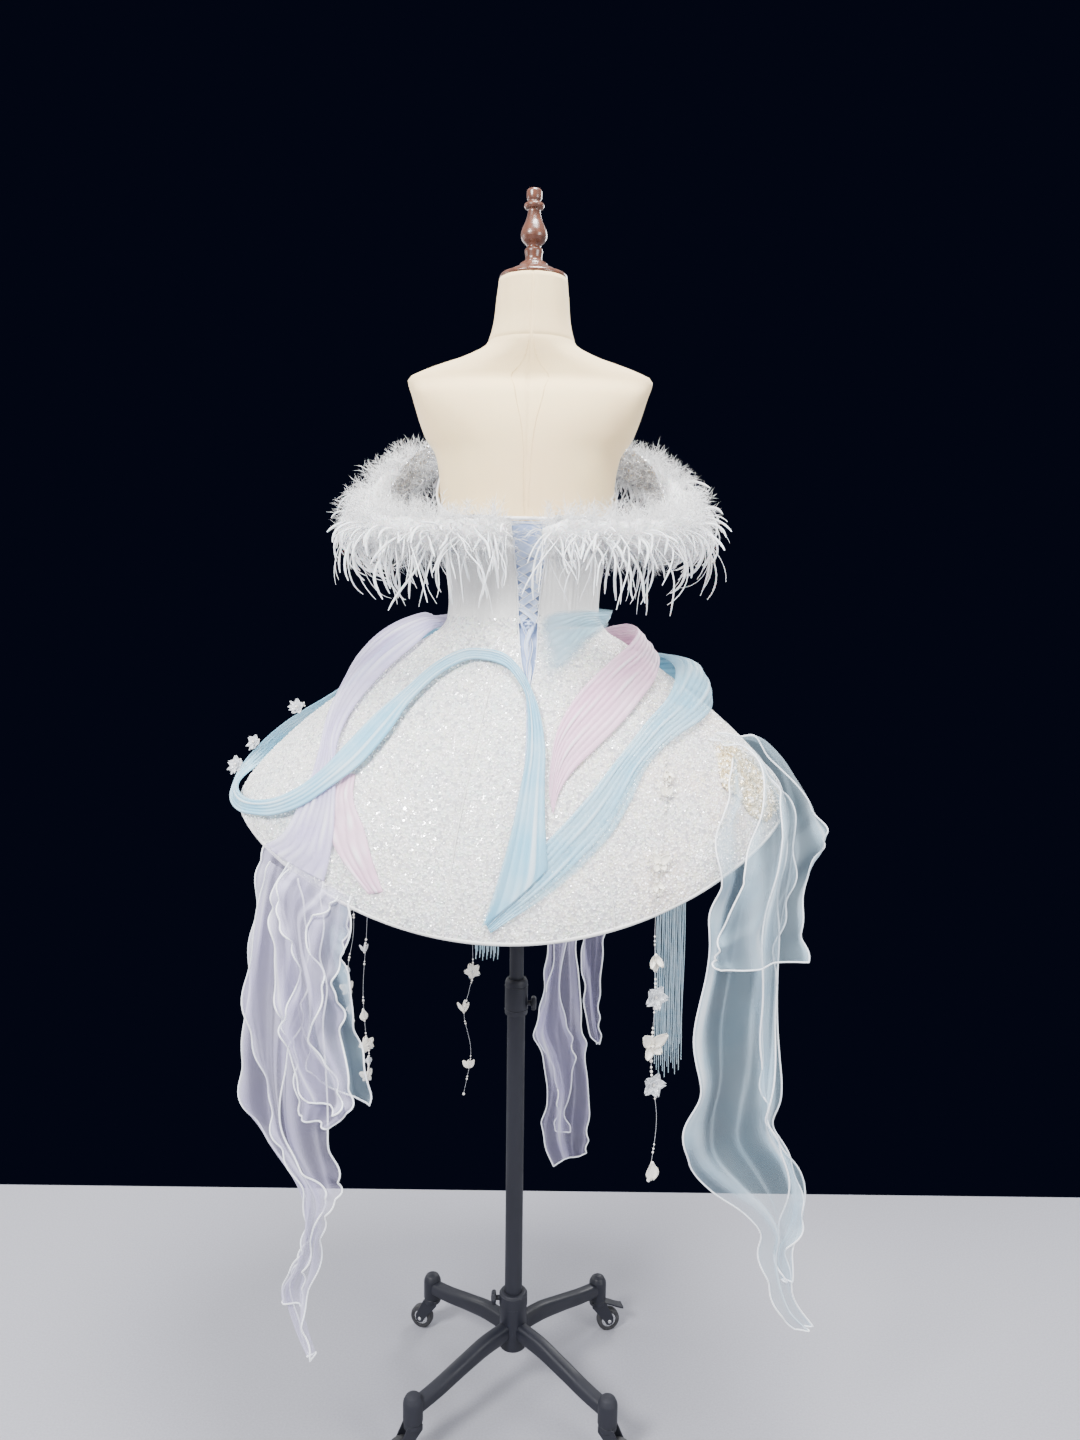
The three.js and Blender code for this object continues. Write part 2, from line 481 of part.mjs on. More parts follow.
strip("swag_lavender_left", "lavender", [
  [-102, -0.06, 2, -98, 0.0, 2.1], [-96, -0.02, 24, -84, 0.035, 6], [-93, 0.09, 42, -69, 0.1, 8],
  [-90, 0.18, 44, -65, 0.22, 7], [-86, 0.27, 33, -61, 0.33, 6.5], [-80, 0.35, 17, -56, 0.45, 6.5],
  [-73, 0.42, 8, -50.5, 0.55, 6.5], [-64, 0.49, 6.5, -45, 0.62, 6.5], [-56, 0.58, 6.5, -41, 0.7, 6.5],
  [-51, 0.69, 6.5, -38, 0.78, 6.5], [-49.5, 0.8, 6.5, -36.5, 0.86, 6.5], [-50, 0.9, 6.5, -36, 0.91, 6.5],
  [-54, 0.985, 6.5, -36, 0.955, 6.5],
], { along: 18, across: 4 });
strip("swag_pink_left", "pink", [
  [-44, 0.6, 3.2, -40.5, 0.59, 3.2], [-43, 0.68, 3.2, -37, 0.67, 3.2], [-41.5, 0.76, 3.2, -31.5, 0.74, 3.2],
  [-36, 0.84, 3.2, -27, 0.83, 3.2], [-26.5, 0.93, 2, -23.6, 0.905, 2],
], { along: 10, across: 3 });
strip("swag_pink_right", "pink", [
  [118, 0.02, 2, 116, 0.11, 2], [104, 0.05, 20, 104, 0.15, 12], [95, 0.07, 29, 94, 0.185, 18],
  [84, 0.1, 30, 83, 0.21, 15], [66, 0.12, 16, 70, 0.24, 9], [50, 0.14, 8, 57, 0.275, 7],
  [37, 0.175, 6, 46, 0.31, 6], [26, 0.22, 5, 34, 0.365, 5], [17.5, 0.285, 4.5, 24, 0.42, 4.5],
  [12.3, 0.36, 4, 16, 0.48, 4], [9.8, 0.45, 3.4, 11.6, 0.54, 3.4], [8.8, 0.545, 2.6, 9.4, 0.61, 2.6],
], { along: 19, across: 3 });
strip("swag_blue_right", "aqua", [
  [120, 0.14, 2, 118, 0.3, 2], [108, 0.19, 16, 106, 0.37, 12, 14], [97, 0.235, 20, 95, 0.42, 14, 24],
  [86, 0.27, 18, 85, 0.45, 12, 20], [72, 0.3, 12, 74, 0.465, 9, 8], [56, 0.345, 9, 61, 0.47, 8, 2],
  [43, 0.385, 8, 52, 0.472, 7], [33, 0.44, 6, 43.5, 0.49, 5.5], [25, 0.5, 4.5, 35, 0.535, 4.5],
  [19, 0.56, 3.8, 28, 0.62, 3.8], [13.5, 0.62, 3.2, 22, 0.7, 3.2], [8.5, 0.68, 3, 16, 0.765, 3],
  [4.5, 0.74, 3, 10, 0.83, 3], [1, 0.8, 3, 5, 0.88, 3], [-1.8, 0.86, 2.8, 1, 0.92, 2.8],
  [-4, 0.93, 2, -2.8, 0.965, 2],
], { along: 25, across: 3 });
strip("swag_aqua_right", "sky", [
  [122, -0.1, 2.6, 120, -0.012, 2.6], [106, -0.095, 13, 106, 0, 7], [92, -0.085, 22, 91, 0.008, 11],
  [74, -0.085, 12, 74, 0.02, 6], [56, -0.09, 5, 58, 0.04, 4], [40, -0.09, 3, 42, 0.07, 3],
  [26, -0.085, 2.6, 28, 0.11, 2.6], [15, -0.06, 2.1, 13, 0.16, 2.1],
], { along: 19, across: 3, thick: 1.3 });
strip("applique", "champagne", [
  [62, 0.575, 3, 68, 0.58, 3], [58, 0.63, 3, 74, 0.64, 3], [54.5, 0.7, 3, 76, 0.72, 3],
  [57, 0.77, 3, 77, 0.8, 3], [58, 0.86, 3, 77.5, 0.88, 3], [62, 0.93, 3, 76, 0.945, 3],
], { along: 6, across: 3, thick: 2 });

strip("streamer_left_long", "haze", [
  [-54, 0.9865, 6.5, -36, 0.9565, 6.5], [-54.5, 1.08, 13, -35.4, 1.05, 13], [-55.7, 1.285, 18, -35, 1.22, 18],
  [-57.5, 1.45, 20, -34.6, 1.4, 20], [-58.5, 1.62, 20, -34, 1.6, 20], [-58.7, 1.8, 20, -33.3, 1.78, 20],
  [-57.3, 1.95, 20, -32.4, 1.9, 20], [-50, 1.99, 20, -32, 1.985, 20], [-42.5, 2.05, 20, -32.6, 2.04, 20],
  [-39.8, 2.14, 20, -34.5, 2.12, 20], [-39.4, 2.24, 20, -35.8, 2.22, 20], [-42, 2.36, 20, -37.4, 2.34, 20],
  [-46.5, 2.49, 20, -39, 2.46, 20], [-43.5, 2.58, 20, -38.6, 2.55, 20], [-38.6, 2.64, 20, -37.2, 2.645, 20],
], { along: 22, across: 4, folds: 1.6, depth: 5 });
strip("streamer_left_short", "haze", [
  [-45, 0.965, 9, -29.5, 0.955, 9], [-45.8, 1.05, 24, -28.2, 1.02, 24], [-46, 1.13, 33, -28.6, 1.11, 33],
  [-43.5, 1.24, 38, -30.3, 1.22, 38], [-42.4, 1.36, 38, -29.4, 1.33, 38], [-41.4, 1.48, 38, -29.2, 1.44, 38],
  [-40, 1.59, 38, -26.5, 1.54, 38], [-39, 1.68, 38, -26.5, 1.63, 38], [-38, 1.755, 38, -31.5, 1.735, 38],
], { along: 12, across: 4, folds: 1.6, depth: 5 });
strip("streamer_left_blue", "sky", [
  [-46, 0.975, -4.6, -30.5, 0.975, -4.6], [-46.5, 1.07, -4.8, -31, 1.07, -4.8],
  [-46.5, 1.14, 0, -31, 1.14, 0], [-46, 1.25, 3, -30, 1.25, 3],
  [-44, 1.42, 4, -28.6, 1.42, 4], [-42, 1.56, 4, -26.5, 1.56, 4], [-41, 1.66, 4, -25, 1.64, 4],
], { along: 8, across: 3, folds: 1.2, depth: 3 });
strip("streamer_front_long", "haze", [
  [170.5, 0.95, 2, 165.5, 0.95, 2], [171.5, 1.15, 7, 165, 1.15, 7], [172, 1.35, 8, 164.8, 1.35, 8],
  [172.3, 1.55, 8, 164.2, 1.55, 8], [173, 1.75, 8, 163.4, 1.75, 8], [174.8, 1.92, 8, 162.4, 1.92, 8],
  [173, 2.05, 8, 161.8, 2.06, 8], [171.3, 2.2, 8, 161.2, 2.22, 8], [172.3, 2.34, 8, 160.9, 2.35, 8],
  [172.4, 2.46, 8, 160.5, 2.45, 8], [169.5, 2.58, 8, 161, 2.53, 8],
], { along: 14, across: 3, folds: 1.2, depth: 4 });
strip("streamer_front_short", "haze", [
  [163, 0.95, 1.2, 157, 0.95, 1.2], [163.2, 1.2, 14, 157.4, 1.2, 14], [163.5, 1.45, 20, 158, 1.42, 20],
  [163.4, 1.57, 20, 157.6, 1.55, 20], [162.5, 1.72, 20, 158.4, 1.7, 20], [161.2, 1.9, 20, 158.6, 1.88, 20],
  [159.3, 2.01, 20, 158, 2.01, 20],
], { along: 9, across: 3, folds: 1, depth: 3 });
strip("streamer_right_long", "sky", [
  [64, 0.645, 5, 71, 0.63, 5], [56, 0.71, 6, 77, 0.75, 6], [51.5, 0.77, 7, 79, 0.87, 7],
  [44.5, 0.83, 8, 79, 0.96, 10], [41, 1.02, 11, 70, 1.1, 18], [40.2, 1.15, 7, 64, 1.24, 23],
  [39.8, 1.3, 3, 61, 1.4, 23], [38, 1.5, -6, 60.6, 1.6, 25], [39.2, 1.7, -9, 60.5, 1.78, 27],
  [37.4, 1.85, -20, 60.4, 1.92, 32], [39.8, 2.0, -24, 60, 2.03, 32], [46.5, 2.16, -8, 62.5, 2.17, 52],
  [53.5, 2.3, 17, 63.2, 2.3, 60], [57.5, 2.42, 34, 63, 2.42, 56], [58.6, 2.52, 32, 62, 2.52, 46],
  [59.3, 2.63, 34, 63, 2.63, 54], [61.6, 2.76, 46, 64.2, 2.73, 64], [65, 2.85, 72, 66.2, 2.84, 80],
], { along: 26, across: 4, folds: 1.4, depth: 5 });
strip("streamer_right_ruffle", "sky", [
  [61.5, 0.535, 2, 68, 0.535, 2], [64, 0.6, 14, 73.5, 0.6, 14], [65, 0.68, 28, 78.4, 0.66, 28],
  [60, 0.78, 38, 80.5, 0.77, 30], [51, 0.89, 38, 81.2, 0.88, 32], [45, 0.99, 36, 80, 0.99, 36],
  [41.5, 1.07, 32, 78.6, 1.09, 54], [40, 1.14, 30, 74.5, 1.15, 50], [39.6, 1.2, 30, 66.3, 1.22, 44],
  [40.5, 1.25, 30, 64.2, 1.33, 46], [41.2, 1.28, 30, 63.5, 1.44, 46],
], { along: 16, across: 4, folds: 1.4, depth: 5 });

// Flower strands: a thread along the dress with lens-shaped flowers on it
function lens(at, normal, r, lobes, thick) {
  const side = V(0, 0, 1).cross(normal).normalize(), up = normal.clone().cross(side);
  const points = [], faces = [];
  const n = lobes * 2;
  for (let k = 0; k < n; k++) {
    const w = (2 * Math.PI * k) / n, q = k % 2 ? 0.62 * r : r;
    points.push(at.clone().addScaledVector(side, q * Math.sin(w)).addScaledVector(up, q * Math.cos(w)));
  }
  points.push(at.clone().addScaledVector(normal, thick), at.clone().addScaledVector(normal, -thick));
  for (let k = 0; k < n; k++) faces.push([k, (k + 1) % n, n], [(k + 1) % n, k, n + 1]);
  return solid(points, faces);
}
const CHARM = ["t", "r", "lobes"];
function strand(name, path, charms) {
  const line = new THREE.CatmullRomCurve3(path.map((p) => V(...p)), false, "catmullrom", 0.5);
  const steps = 7;
  const place = (u, out = 0) => {
    const q = line.getPoint(u);
    return dress(q.x, q.y, q.z + out);
  };
  const points = Array.from({ length: steps + 1 }, (_, i) => place(i / steps));
  const parts = [rod(points, points.map(() => 1.1), 3)];
  for (const c of named(CHARM, charms)) {
    const p = place(c.t), n = place(c.t, 1).sub(p);
    parts.push(lens(p, n, c.r, c.lobes, 2.2));
  }
  add(name, join(parts), "petal");
}
strand("strand_right", [[42.5, 0.515, 1.4], [36, 0.67, 2.2], [30.8, 0.82, 3], [28.2, 0.92, 4],
  [27.3, 1.05, 8], [27.7, 1.25, 8], [27.2, 1.5, 8], [28.6, 1.7, 8], [27.2, 1.9, 8]],
[[0.3, 12, 3], [0.53, 17, 3], [0.63, 13, 5], [0.73, 19, 4], [0.79, 13, 5], [0.985, 13, 3]]);
strand("strand_centre", [[-167.5, 0.96, 0.2], [-168, 1.1, 8], [-169.1, 1.6, 8], [-168.2, 1.73, 8],
  [-166.9, 1.85, 8], [-168.7, 2.03, 8], [-166.9, 2.24, 8]],
[[0.35, 14, 5], [0.62, 16, 3], [0.88, 14, 3]]);
strand("strand_left_front", [[-134, 0.96, -0.1], [-135.5, 1.1, 8], [-137, 1.5, 8], [-135.3, 1.7, 8],
  [-135.3, 1.82, 8], [-136.7, 1.96, 8]],
[[0.42, 12, 4], [0.6, 14, 5], [0.82, 13, 4], [0.975, 12, 3]]);
strand("strand_left_side", [[-141.5, 0.96, -0.6], [-141.5, 1.1, 8], [-140.8, 1.5, 8], [-139.6, 1.8, 8],
  [-140.3, 2.01, 8], [-141.2, 2.1, 8], [-140.7, 2.24, 8]],
[[0.55, 12, 5], [0.7, 13, 4], [0.84, 12, 3], [0.975, 11, 5]]);
const LOOP_FLOWER = named(["phi", "s", "lift", "r"],
  [[-97, 0.58, 19.6, 13], [-95, 0.8, 25.4, 12], [-92, 0.91, 22.3, 14]]);
LOOP_FLOWER.forEach((f, i) => {
  const p = dress(f.phi, f.s, f.lift), n = dress(f.phi, f.s, f.lift + 1).sub(p);
  const away = p.clone().addScaledVector(n, 12);
  add("loop_flower_" + (i + 1), join([lens(away, V(-0.35, -0.9, 0.25).normalize(), f.r, 5, 3),
    rod([p, away], [1.2, 1.2], 4)]), "petal");
});

// Tassels: strings fused into a header at the hem
function tassel(name, from, to, strings, endS) {
  const parts = [laid(3, 1, (u, v) => [mix(from - 0.6, to + 0.6, u), mix(0.955, 0.99, v), 3], 2.8)];
  for (let i = 0; i < strings; i++) {
    const phi = mix(from, to, (i + 0.5) / strings), end = endS[0] + (endS[1] - endS[0]) * ((i * 0.618) % 1);
    parts.push(rod([0.975, 1.05, end].map((s, k) =>
      dress(phi + 0.3 * Math.sin(i * 2.4 + k) * (k > 1), s, 1.9 + (k > 0) * 1.4)), [1.2, 1.2, 1], 3));
  }
  add(name, join(parts), "string");
}
tassel("tassel_centre", -176, -169.5, 10, [1.5, 1.58]);
tassel("tassel_right", 134, 142.5, 12, [2.0, 2.2]);

// Pole
const UPPER_FROM = 430, UPPER_TO = SOCKET_TOP - GAP;
const UPPER = [[0, UPPER_FROM], [TUBE.pole, UPPER_FROM], [TUBE.pole, UPPER_TO], [0, UPPER_TO]];
add("mast_upper", turned(UPPER, 16), "powder");
const LOWER = [[0, TUBE.bottom + GAP], [TUBE.outer, TUBE.bottom + GAP], [TUBE.outer, TUBE.collar],
  [TUBE.collarR, TUBE.collar + 4], [TUBE.collarR, TUBE.top - 4], [TUBE.outer + 1, TUBE.top], [0, TUBE.top]];
const LOWER_BORE = [[0, 340], [TUBE.bore, 340], [TUBE.bore, 710], [0, 710]];
add("mast_lower", cut(turned(LOWER, 16), [turned(LOWER_BORE, 16)]), "powder");
const KNOB = [[0, 0], [4, 0], [4, 5], [11, 6], [11, 12], [0, 14]];
const knob = (way) => turned(KNOB, 10).rotateY(way * Math.PI / 2);
add("clamp_knob_pole", knob(1), "powder", [TUBE.collarR * Math.cos(Math.PI / 16) + GAP, 0, 658]);
add("clamp_knob_hub", knob(-1), "powder", [-22 - GAP, 0, 160]);

// Base: a hub with four arched legs and upright leg ends
const LEG = named(["r", "z", "half"], [[10, 110, 14], [55, 108, 14], [110, 98, 12.5], [165, 86, 11.5],
  [LEG_END, 80, 10.5]]);
const CORNERS = [["near_right", -45, -20], ["far_right", 45, 15], ["far_left", 135, 160],
  ["near_left", 225, 205]];
{
  const ring = (r, n) => Array.from({ length: n }, (_, k) => {
    const w = (2 * Math.PI * k) / n;
    return [r * Math.cos(w), r * Math.sin(w)];
  });
  const outline = ring(22, 18);
  const hub = new THREE.ExtrudeGeometry(new THREE.Shape(outline.map(([x, y]) => new THREE.Vector2(x, y))),
    { depth: 96, bevelEnabled: false }).translate(0, 0, 77);
  const parts = [hub];
  for (const [, turn] of CORNERS) {
    const points = [], faces = [], n = 8;
    for (const { r, z, half } of LEG) for (let k = 0; k < n; k++) {
      const w = (2 * Math.PI * (k + 0.5)) / n, c = Math.cos(w), s = Math.sin(w);
      points.push(V(r, 11.5 * c, z + half * s));
    }
    for (let i = 0; i + 1 < LEG.length; i++) for (let k = 0; k < n; k++) {
      const m = (k + 1) % n, a = i * n, b = a + n;
      faces.push([a + k, a + m, b + m], [a + k, b + m, b + k]);
    }
    const end = (LEG.length - 1) * n;
    for (let k = 1; k + 1 < n; k++) faces.push([0, k + 1, k], [end, end + k, end + k + 1]);
    const post = turned([[0, 60], [15, 60], [15, 90], [11, 101], [0, 105]], 12).translate(LEG_END, 0, 0);
    parts.push(solid(points, faces).rotateZ(rad(turn)), post.rotateZ(rad(turn)));
  }
  const fit = TUBE.outer + GAP, above = 180;
  const holes = [turned([[0, TUBE.bottom], [fit, TUBE.bottom], [fit, above], [0, above]], 16)];
  for (const [, turn] of CORNERS) {
    const stemHole = turned([[0, 55], [4.6, 55], [4.6, 80], [0, 80]], 8);
    holes.push(stemHole.translate(LEG_END, 0, 0).rotateZ(rad(turn)));
  }
  add("base", cut(join(parts), holes), "powder");
}

// Casters: a fork that swivels in each leg end and a wheel on its axle
const WHEEL_SIDES = 18;
const FLAT_R = WHEEL.r / Math.cos(Math.PI / WHEEL_SIDES);
function fork(brake) {
  const outline = [[-12, 58], [12, 58], [WHEEL.trail + 7, 26], [WHEEL.trail + 7, 16], [WHEEL.trail, 13],
    [WHEEL.trail - 7, 16], [-12, 50]];
  const cheek = new THREE.Shape(outline.map(([x, y]) => new THREE.Vector2(x, y)));
  const thick = 2.5;
  const plate = (y) => new THREE.ExtrudeGeometry(cheek, { depth: thick, bevelEnabled: false })
    .rotateX(Math.PI / 2).translate(0, y + thick / 2, 0);
  const parts = [turned([[0, 51], [14, 51], [14, 59.7], [4, 59.7], [4, 78], [0, 78]], 10),
    plate(WHEEL.width / 2 + 2.2), plate(-WHEEL.width / 2 - 2.2),
    new THREE.CylinderGeometry(3, 3, WHEEL.width + 9, 6).translate(WHEEL.trail, 0, WHEEL.r)];
  if (brake) parts.push(new THREE.BoxGeometry(34, 17, 3).rotateY(rad(12)).translate(30, 0, 46),
    new THREE.BoxGeometry(12, 17, 7).translate(12, 0, 50));
  return join(parts);
}
const TYRE = [[3.5, -7.5], [17.5, -7.5], [FLAT_R, -5], [FLAT_R, 5], [17.5, 7.5], [3.5, 7.5], [3.5, -7.5]];
const wheel = () => turned(TYRE, WHEEL_SIDES).rotateX(Math.PI / 2);
for (const [name, turn, swivel] of CORNERS) {
  const x = LEG_END * Math.cos(rad(turn)), y = LEG_END * Math.sin(rad(turn));
  add("caster_fork_" + name, fork(name === "far_right"), "powder", [x, y, 0], swivel);
  add("caster_wheel_" + name, wheel(), "wheel", [x + WHEEL.trail * Math.cos(rad(swivel)),
    y + WHEEL.trail * Math.sin(rad(swivel)), WHEEL.r], swivel);
}

export default object;
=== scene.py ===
"""A mini prom dress with a laced back on a limbless dress form: cloth, feathers, beads and stand."""
import math
import random

import bpy
import numpy as np
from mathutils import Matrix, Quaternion, Vector


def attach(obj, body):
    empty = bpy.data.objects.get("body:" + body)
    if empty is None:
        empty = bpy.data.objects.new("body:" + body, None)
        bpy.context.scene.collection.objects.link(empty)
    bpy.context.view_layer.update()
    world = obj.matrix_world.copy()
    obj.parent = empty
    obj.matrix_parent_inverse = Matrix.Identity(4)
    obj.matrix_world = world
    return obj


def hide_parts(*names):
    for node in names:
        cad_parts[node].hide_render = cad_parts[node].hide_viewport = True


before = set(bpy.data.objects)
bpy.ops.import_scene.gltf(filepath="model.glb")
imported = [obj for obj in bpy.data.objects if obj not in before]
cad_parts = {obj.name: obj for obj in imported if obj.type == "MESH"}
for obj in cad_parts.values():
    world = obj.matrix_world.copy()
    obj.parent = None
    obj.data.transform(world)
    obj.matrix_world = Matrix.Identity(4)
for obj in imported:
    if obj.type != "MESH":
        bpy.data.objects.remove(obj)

bl_info = {
    "name": "Laced mini dress on a dress form",
    "version": (1, 0, 0),
    "blender": (4, 5, 0),
    "location": "3D View > Sidebar > Dress",
    "description": "Builds the dress, its trims, the form and the stand around the packed frame",
    "category": "Object",
}

# Pattern sizes in millimetres; points come out in metres
MM = 0.001
LEAN, LEAN_FROM = 0.0192, 1000
CENTRE_BACK = 4.2
BODICE_CLEAR = 3
CLOTH = 2
SEAM_GAP = 0.3
WAIST_Z = 1250
BODICE_DROP = 300
HANG = 400
WAIST = {"x": 5, "side": 117, "depth": 96}
HEM = {"x": -8, "side": 415, "depth": 303, "z": 992, "dip": 141}
BELL = 1.416
FORM_BOTTOM, NECK_TOP = 1060, 1757
LEG_END = 207
WHEEL = {"r": 20, "width": 15, "trail": 20}
TUBE = {"outer": 14, "pole": 11, "bottom": 100, "collar": 640, "top": 699, "collar_r": 18}
CORNERS = [("near_right", -45, -20), ("far_right", 45, 15), ("far_left", 135, 160), ("near_left", 225, 205)]


def mix(a, b, t):
    return a + (b - a) * t


def smooth(a, b, x):
    t = np.clip((x - a) / (b - a), 0, 1)
    return t * t * (3 - 2 * t)


def named(columns, rows):
    """A short table as one array for each named column; columns left out of a row are zero."""
    full = [list(row) + [0] * (len(columns) - len(row)) for row in rows]
    return {name: np.array([row[i] for row in full], float) for i, name in enumerate(columns)}


def column(table, key, name, x):
    """A column of a table at x, with smooth slopes and no overshoot."""
    k, y = table[key], table[name]
    x = np.clip(np.asarray(x, float), k[0], k[-1])
    slope = np.diff(y) / np.diff(k)
    tangent = np.concatenate([slope[:1], np.zeros(len(y) - 2), slope[-1:]])
    a, b = slope[:-1], slope[1:]
    same = a * b > 0
    tangent[1:-1][same] = 2 * a[same] * b[same] / (a[same] + b[same])
    i = np.clip(np.searchsorted(k, x, side="right") - 1, 0, len(k) - 2)
    h = k[i + 1] - k[i]
    t = (x - k[i]) / h
    return ((2 * t**3 - 3 * t**2 + 1) * y[i] + (t**3 - 2 * t**2 + t) * h * tangent[i]
            + (3 * t**2 - 2 * t**3) * y[i + 1] + (t**3 - t**2) * h * tangent[i + 1])


def spline(points, u):
    """A smooth curve through evenly spaced points, at u from 0 to 1."""
    p = np.asarray(points, float)
    n = len(p) - 1
    x = np.clip(np.asarray(u, float), 0, 1) * n
    i = np.minimum(np.floor(x).astype(int), n - 1)
    w = (x - i)[..., None]
    q = np.vstack([2 * p[0] - p[1], p, 2 * p[-1] - p[-2]])
    a, b, c, d = q[i], q[i + 1], q[i + 2], q[i + 3]
    out, back = 0.5 * (c - a), 0.5 * (d - b)
    return b + out * w + (3 * (c - b) - 2 * out - back) * w**2 + (2 * (b - c) + out + back) * w**3


FORM = named(["z", "side", "back", "front", "square"], [
    [1060, 150, 105, 105, 2], [1100, 165, 115, 117, 2], [1180, 145, 106, 108, 2], [1250, 112, 91, 92, 2],
    [1285, 108, 84, 88, 2], [1340, 113, 88, 98, 2], [1400, 125, 98, 114, 2], [1440, 129, 98, 123, 2],
    [1465, 131, 97, 126, 2.1], [1500, 137, 95, 124, 2.2], [1530, 155, 92, 112, 2.4], [1587, 174, 74, 78, 3],
    [1611, 181, 52, 54, 3], [1628, 150, 53, 55, 2.4], [1645, 100, 56, 58, 2.1], [1663, 67, 58, 60, 2],
    [1700, 56, 54, 54, 2], [1730, 53, 52, 52, 2], [1757, 50, 50, 50, 2]])


def axis_x(z):
    return np.maximum(0, np.asarray(z, float) - LEAN_FROM) * LEAN


def form_point(phi, z):
    """The form's surface; phi is 0 at the back and 90 at the wearer's right."""
    phi, z = np.broadcast_arrays(np.asarray(phi, float), np.asarray(z, float))
    c, s = np.cos(np.radians(phi)), np.sin(np.radians(phi))
    power = 2 / column(FORM, "z", "square", z)
    depth = np.where(c > 0, column(FORM, "z", "back", z), column(FORM, "z", "front", z))
    x = axis_x(z) + column(FORM, "z", "side", z) * np.sign(s) * np.abs(s) ** power
    return np.stack([x, -depth * np.sign(c) * np.abs(c) ** power, z], -1)


def skirt_point(phi, s):
    """The skirt's bell from the waist at s 0 to the hem at s 1, then a straight drop."""
    phi, s = np.broadcast_arrays(np.asarray(phi, float), np.asarray(s, float))
    c, h = np.cos(np.radians(phi)), np.minimum(s, 1)
    f = 1 - np.abs(1 - h) ** BELL
    hem_z = HEM["z"] - HEM["dip"] * c * c
    x = mix(WAIST["x"], HEM["x"], f) + mix(WAIST["side"], HEM["side"], f) * np.sin(np.radians(phi))
    y = -mix(WAIST["depth"], HEM["depth"], f) * c
    return np.stack([x, y, mix(WAIST_Z, hem_z, h) - np.maximum(0, s - 1) * HANG], -1)


def bodice_face(phi, s):
    return form_point(phi, WAIST_Z - np.asarray(s, float) * BODICE_DROP)


def unit(v):
    return v / np.maximum(np.linalg.norm(v, axis=-1, keepdims=True), 1e-12)


def outward(face, phi, s):
    across = face(phi + 0.2, s) - face(phi - 0.2, s)
    down = face(phi, s + 0.002) - face(phi, s - 0.002)
    n = unit(np.cross(across, down))
    side = np.stack([np.sin(np.radians(phi)), -np.cos(np.radians(phi)), np.full_like(phi, 0.3)], -1)
    return np.where((n * side).sum(-1, keepdims=True) < 0, -n, n)


def dress(phi, s, lift=0):
    """A point in metres over the dress: s is 0 at the waist, 1 at the hem and below 0 on the bodice."""
    phi, s, lift = (np.array(a, float) for a in np.broadcast_arrays(phi, s, lift))
    on_bodice = outward(bodice_face, phi, np.minimum(s, 0))
    on_skirt = outward(skirt_point, phi, np.maximum(s, 0.01))
    blend = smooth(-0.05, 0.05, s)[..., None]
    n = unit(on_bodice * (1 - blend) + on_skirt * blend)
    upper = bodice_face(phi, s) + outward(bodice_face, phi, s) * (BODICE_CLEAR + CLOTH)
    return (np.where((s < 0)[..., None], upper, skirt_point(phi, s)) + n * lift[..., None]) * MM


# Meshes
def grid_faces(nu, nv, around=False):
    """Quads of a grid of points; around closes the second direction on itself."""
    rows = nv if around else nv + 1
    i, j = np.meshgrid(np.arange(nu), np.arange(nv), indexing="ij")
    k = (j + 1) % rows
    corners = [i * rows + j, (i + 1) * rows + j, (i + 1) * rows + k, i * rows + k]
    return np.stack(corners, -1).reshape(-1, 4)


class Bag:
    """Points, faces, finishes and cloth coordinates of a piece while it is put together."""

    def __init__(self):
        self.points, self.faces, self.slots, self.cloth, self.folds, self.count = [], [], [], [], [], 0

    def add(self, points, faces, slot=0, cloth=None, fold=None):
        points = np.asarray(points, float).reshape(-1, 3)
        shifted = [tuple(int(a) + self.count for a in f) for f in faces]
        self.points.append(points)
        self.faces += shifted
        self.slots += [slot] * len(shifted)
        self.cloth.append(np.zeros((len(points), 2)) if cloth is None else cloth)
        self.folds.append(np.zeros(len(points)) if fold is None else fold)
        self.count += len(points)
        return self

    def make(self, name, materials, sharp=None):
        mesh = bpy.data.meshes.new(name)
        mesh.from_pydata(np.vstack(self.points).tolist(), [], self.faces)
        mesh.polygons.foreach_set("use_smooth", [True] * len(mesh.polygons))
        mesh.polygons.foreach_set("material_index", self.slots)
        corner = np.zeros(len(mesh.loops), np.int32)
        mesh.loops.foreach_get("vertex_index", corner)
        layer = mesh.uv_layers.new(name="cloth")
        layer.data.foreach_set("uv", np.vstack(self.cloth)[corner].astype(np.float32).ravel())
        mesh.attributes.new("fold", "FLOAT", "POINT").data.foreach_set(
            "value", np.concatenate(self.folds).astype(np.float32))
        for m in materials if isinstance(materials, (list, tuple)) else [materials]:
            mesh.materials.append(m)
        if sharp:
            mesh.set_sharp_from_angle(angle=math.radians(sharp))
        obj = bpy.data.objects.new(name, mesh)
        bpy.context.scene.collection.objects.link(obj)
        return obj


def outside_out(points, parts):
    """The parts of a closed shell's faces, turned if need be so that they point outwards."""
    p = points - points.mean(0)
    volume = sum(np.einsum("ij,ij->i", p[f[:, 0]], np.cross(p[f[:, k]], p[f[:, k + 1]])).sum()
                 for f in parts for k in range(1, f.shape[1] - 1))
    return [f[:, ::-1] if volume < 0 else f for f in parts]


def lofted(bag, points, sides, slot=0, cloth=None):
    """A closed solid through rings of points with flat ends."""
    ring, last = np.arange(sides), len(points) // sides - 1
    ends = [ring[None, ::-1], (ring + last * sides)[None]]
    parts = outside_out(points, [grid_faces(last, sides, around=True), *ends])
    return bag.add(points, [f for part in parts for f in part], slot, cloth)


def gone_along(path):
    """The length of a path up to each of its points."""
    return np.concatenate([[0], np.cumsum(np.linalg.norm(np.diff(path, axis=0), axis=1))])


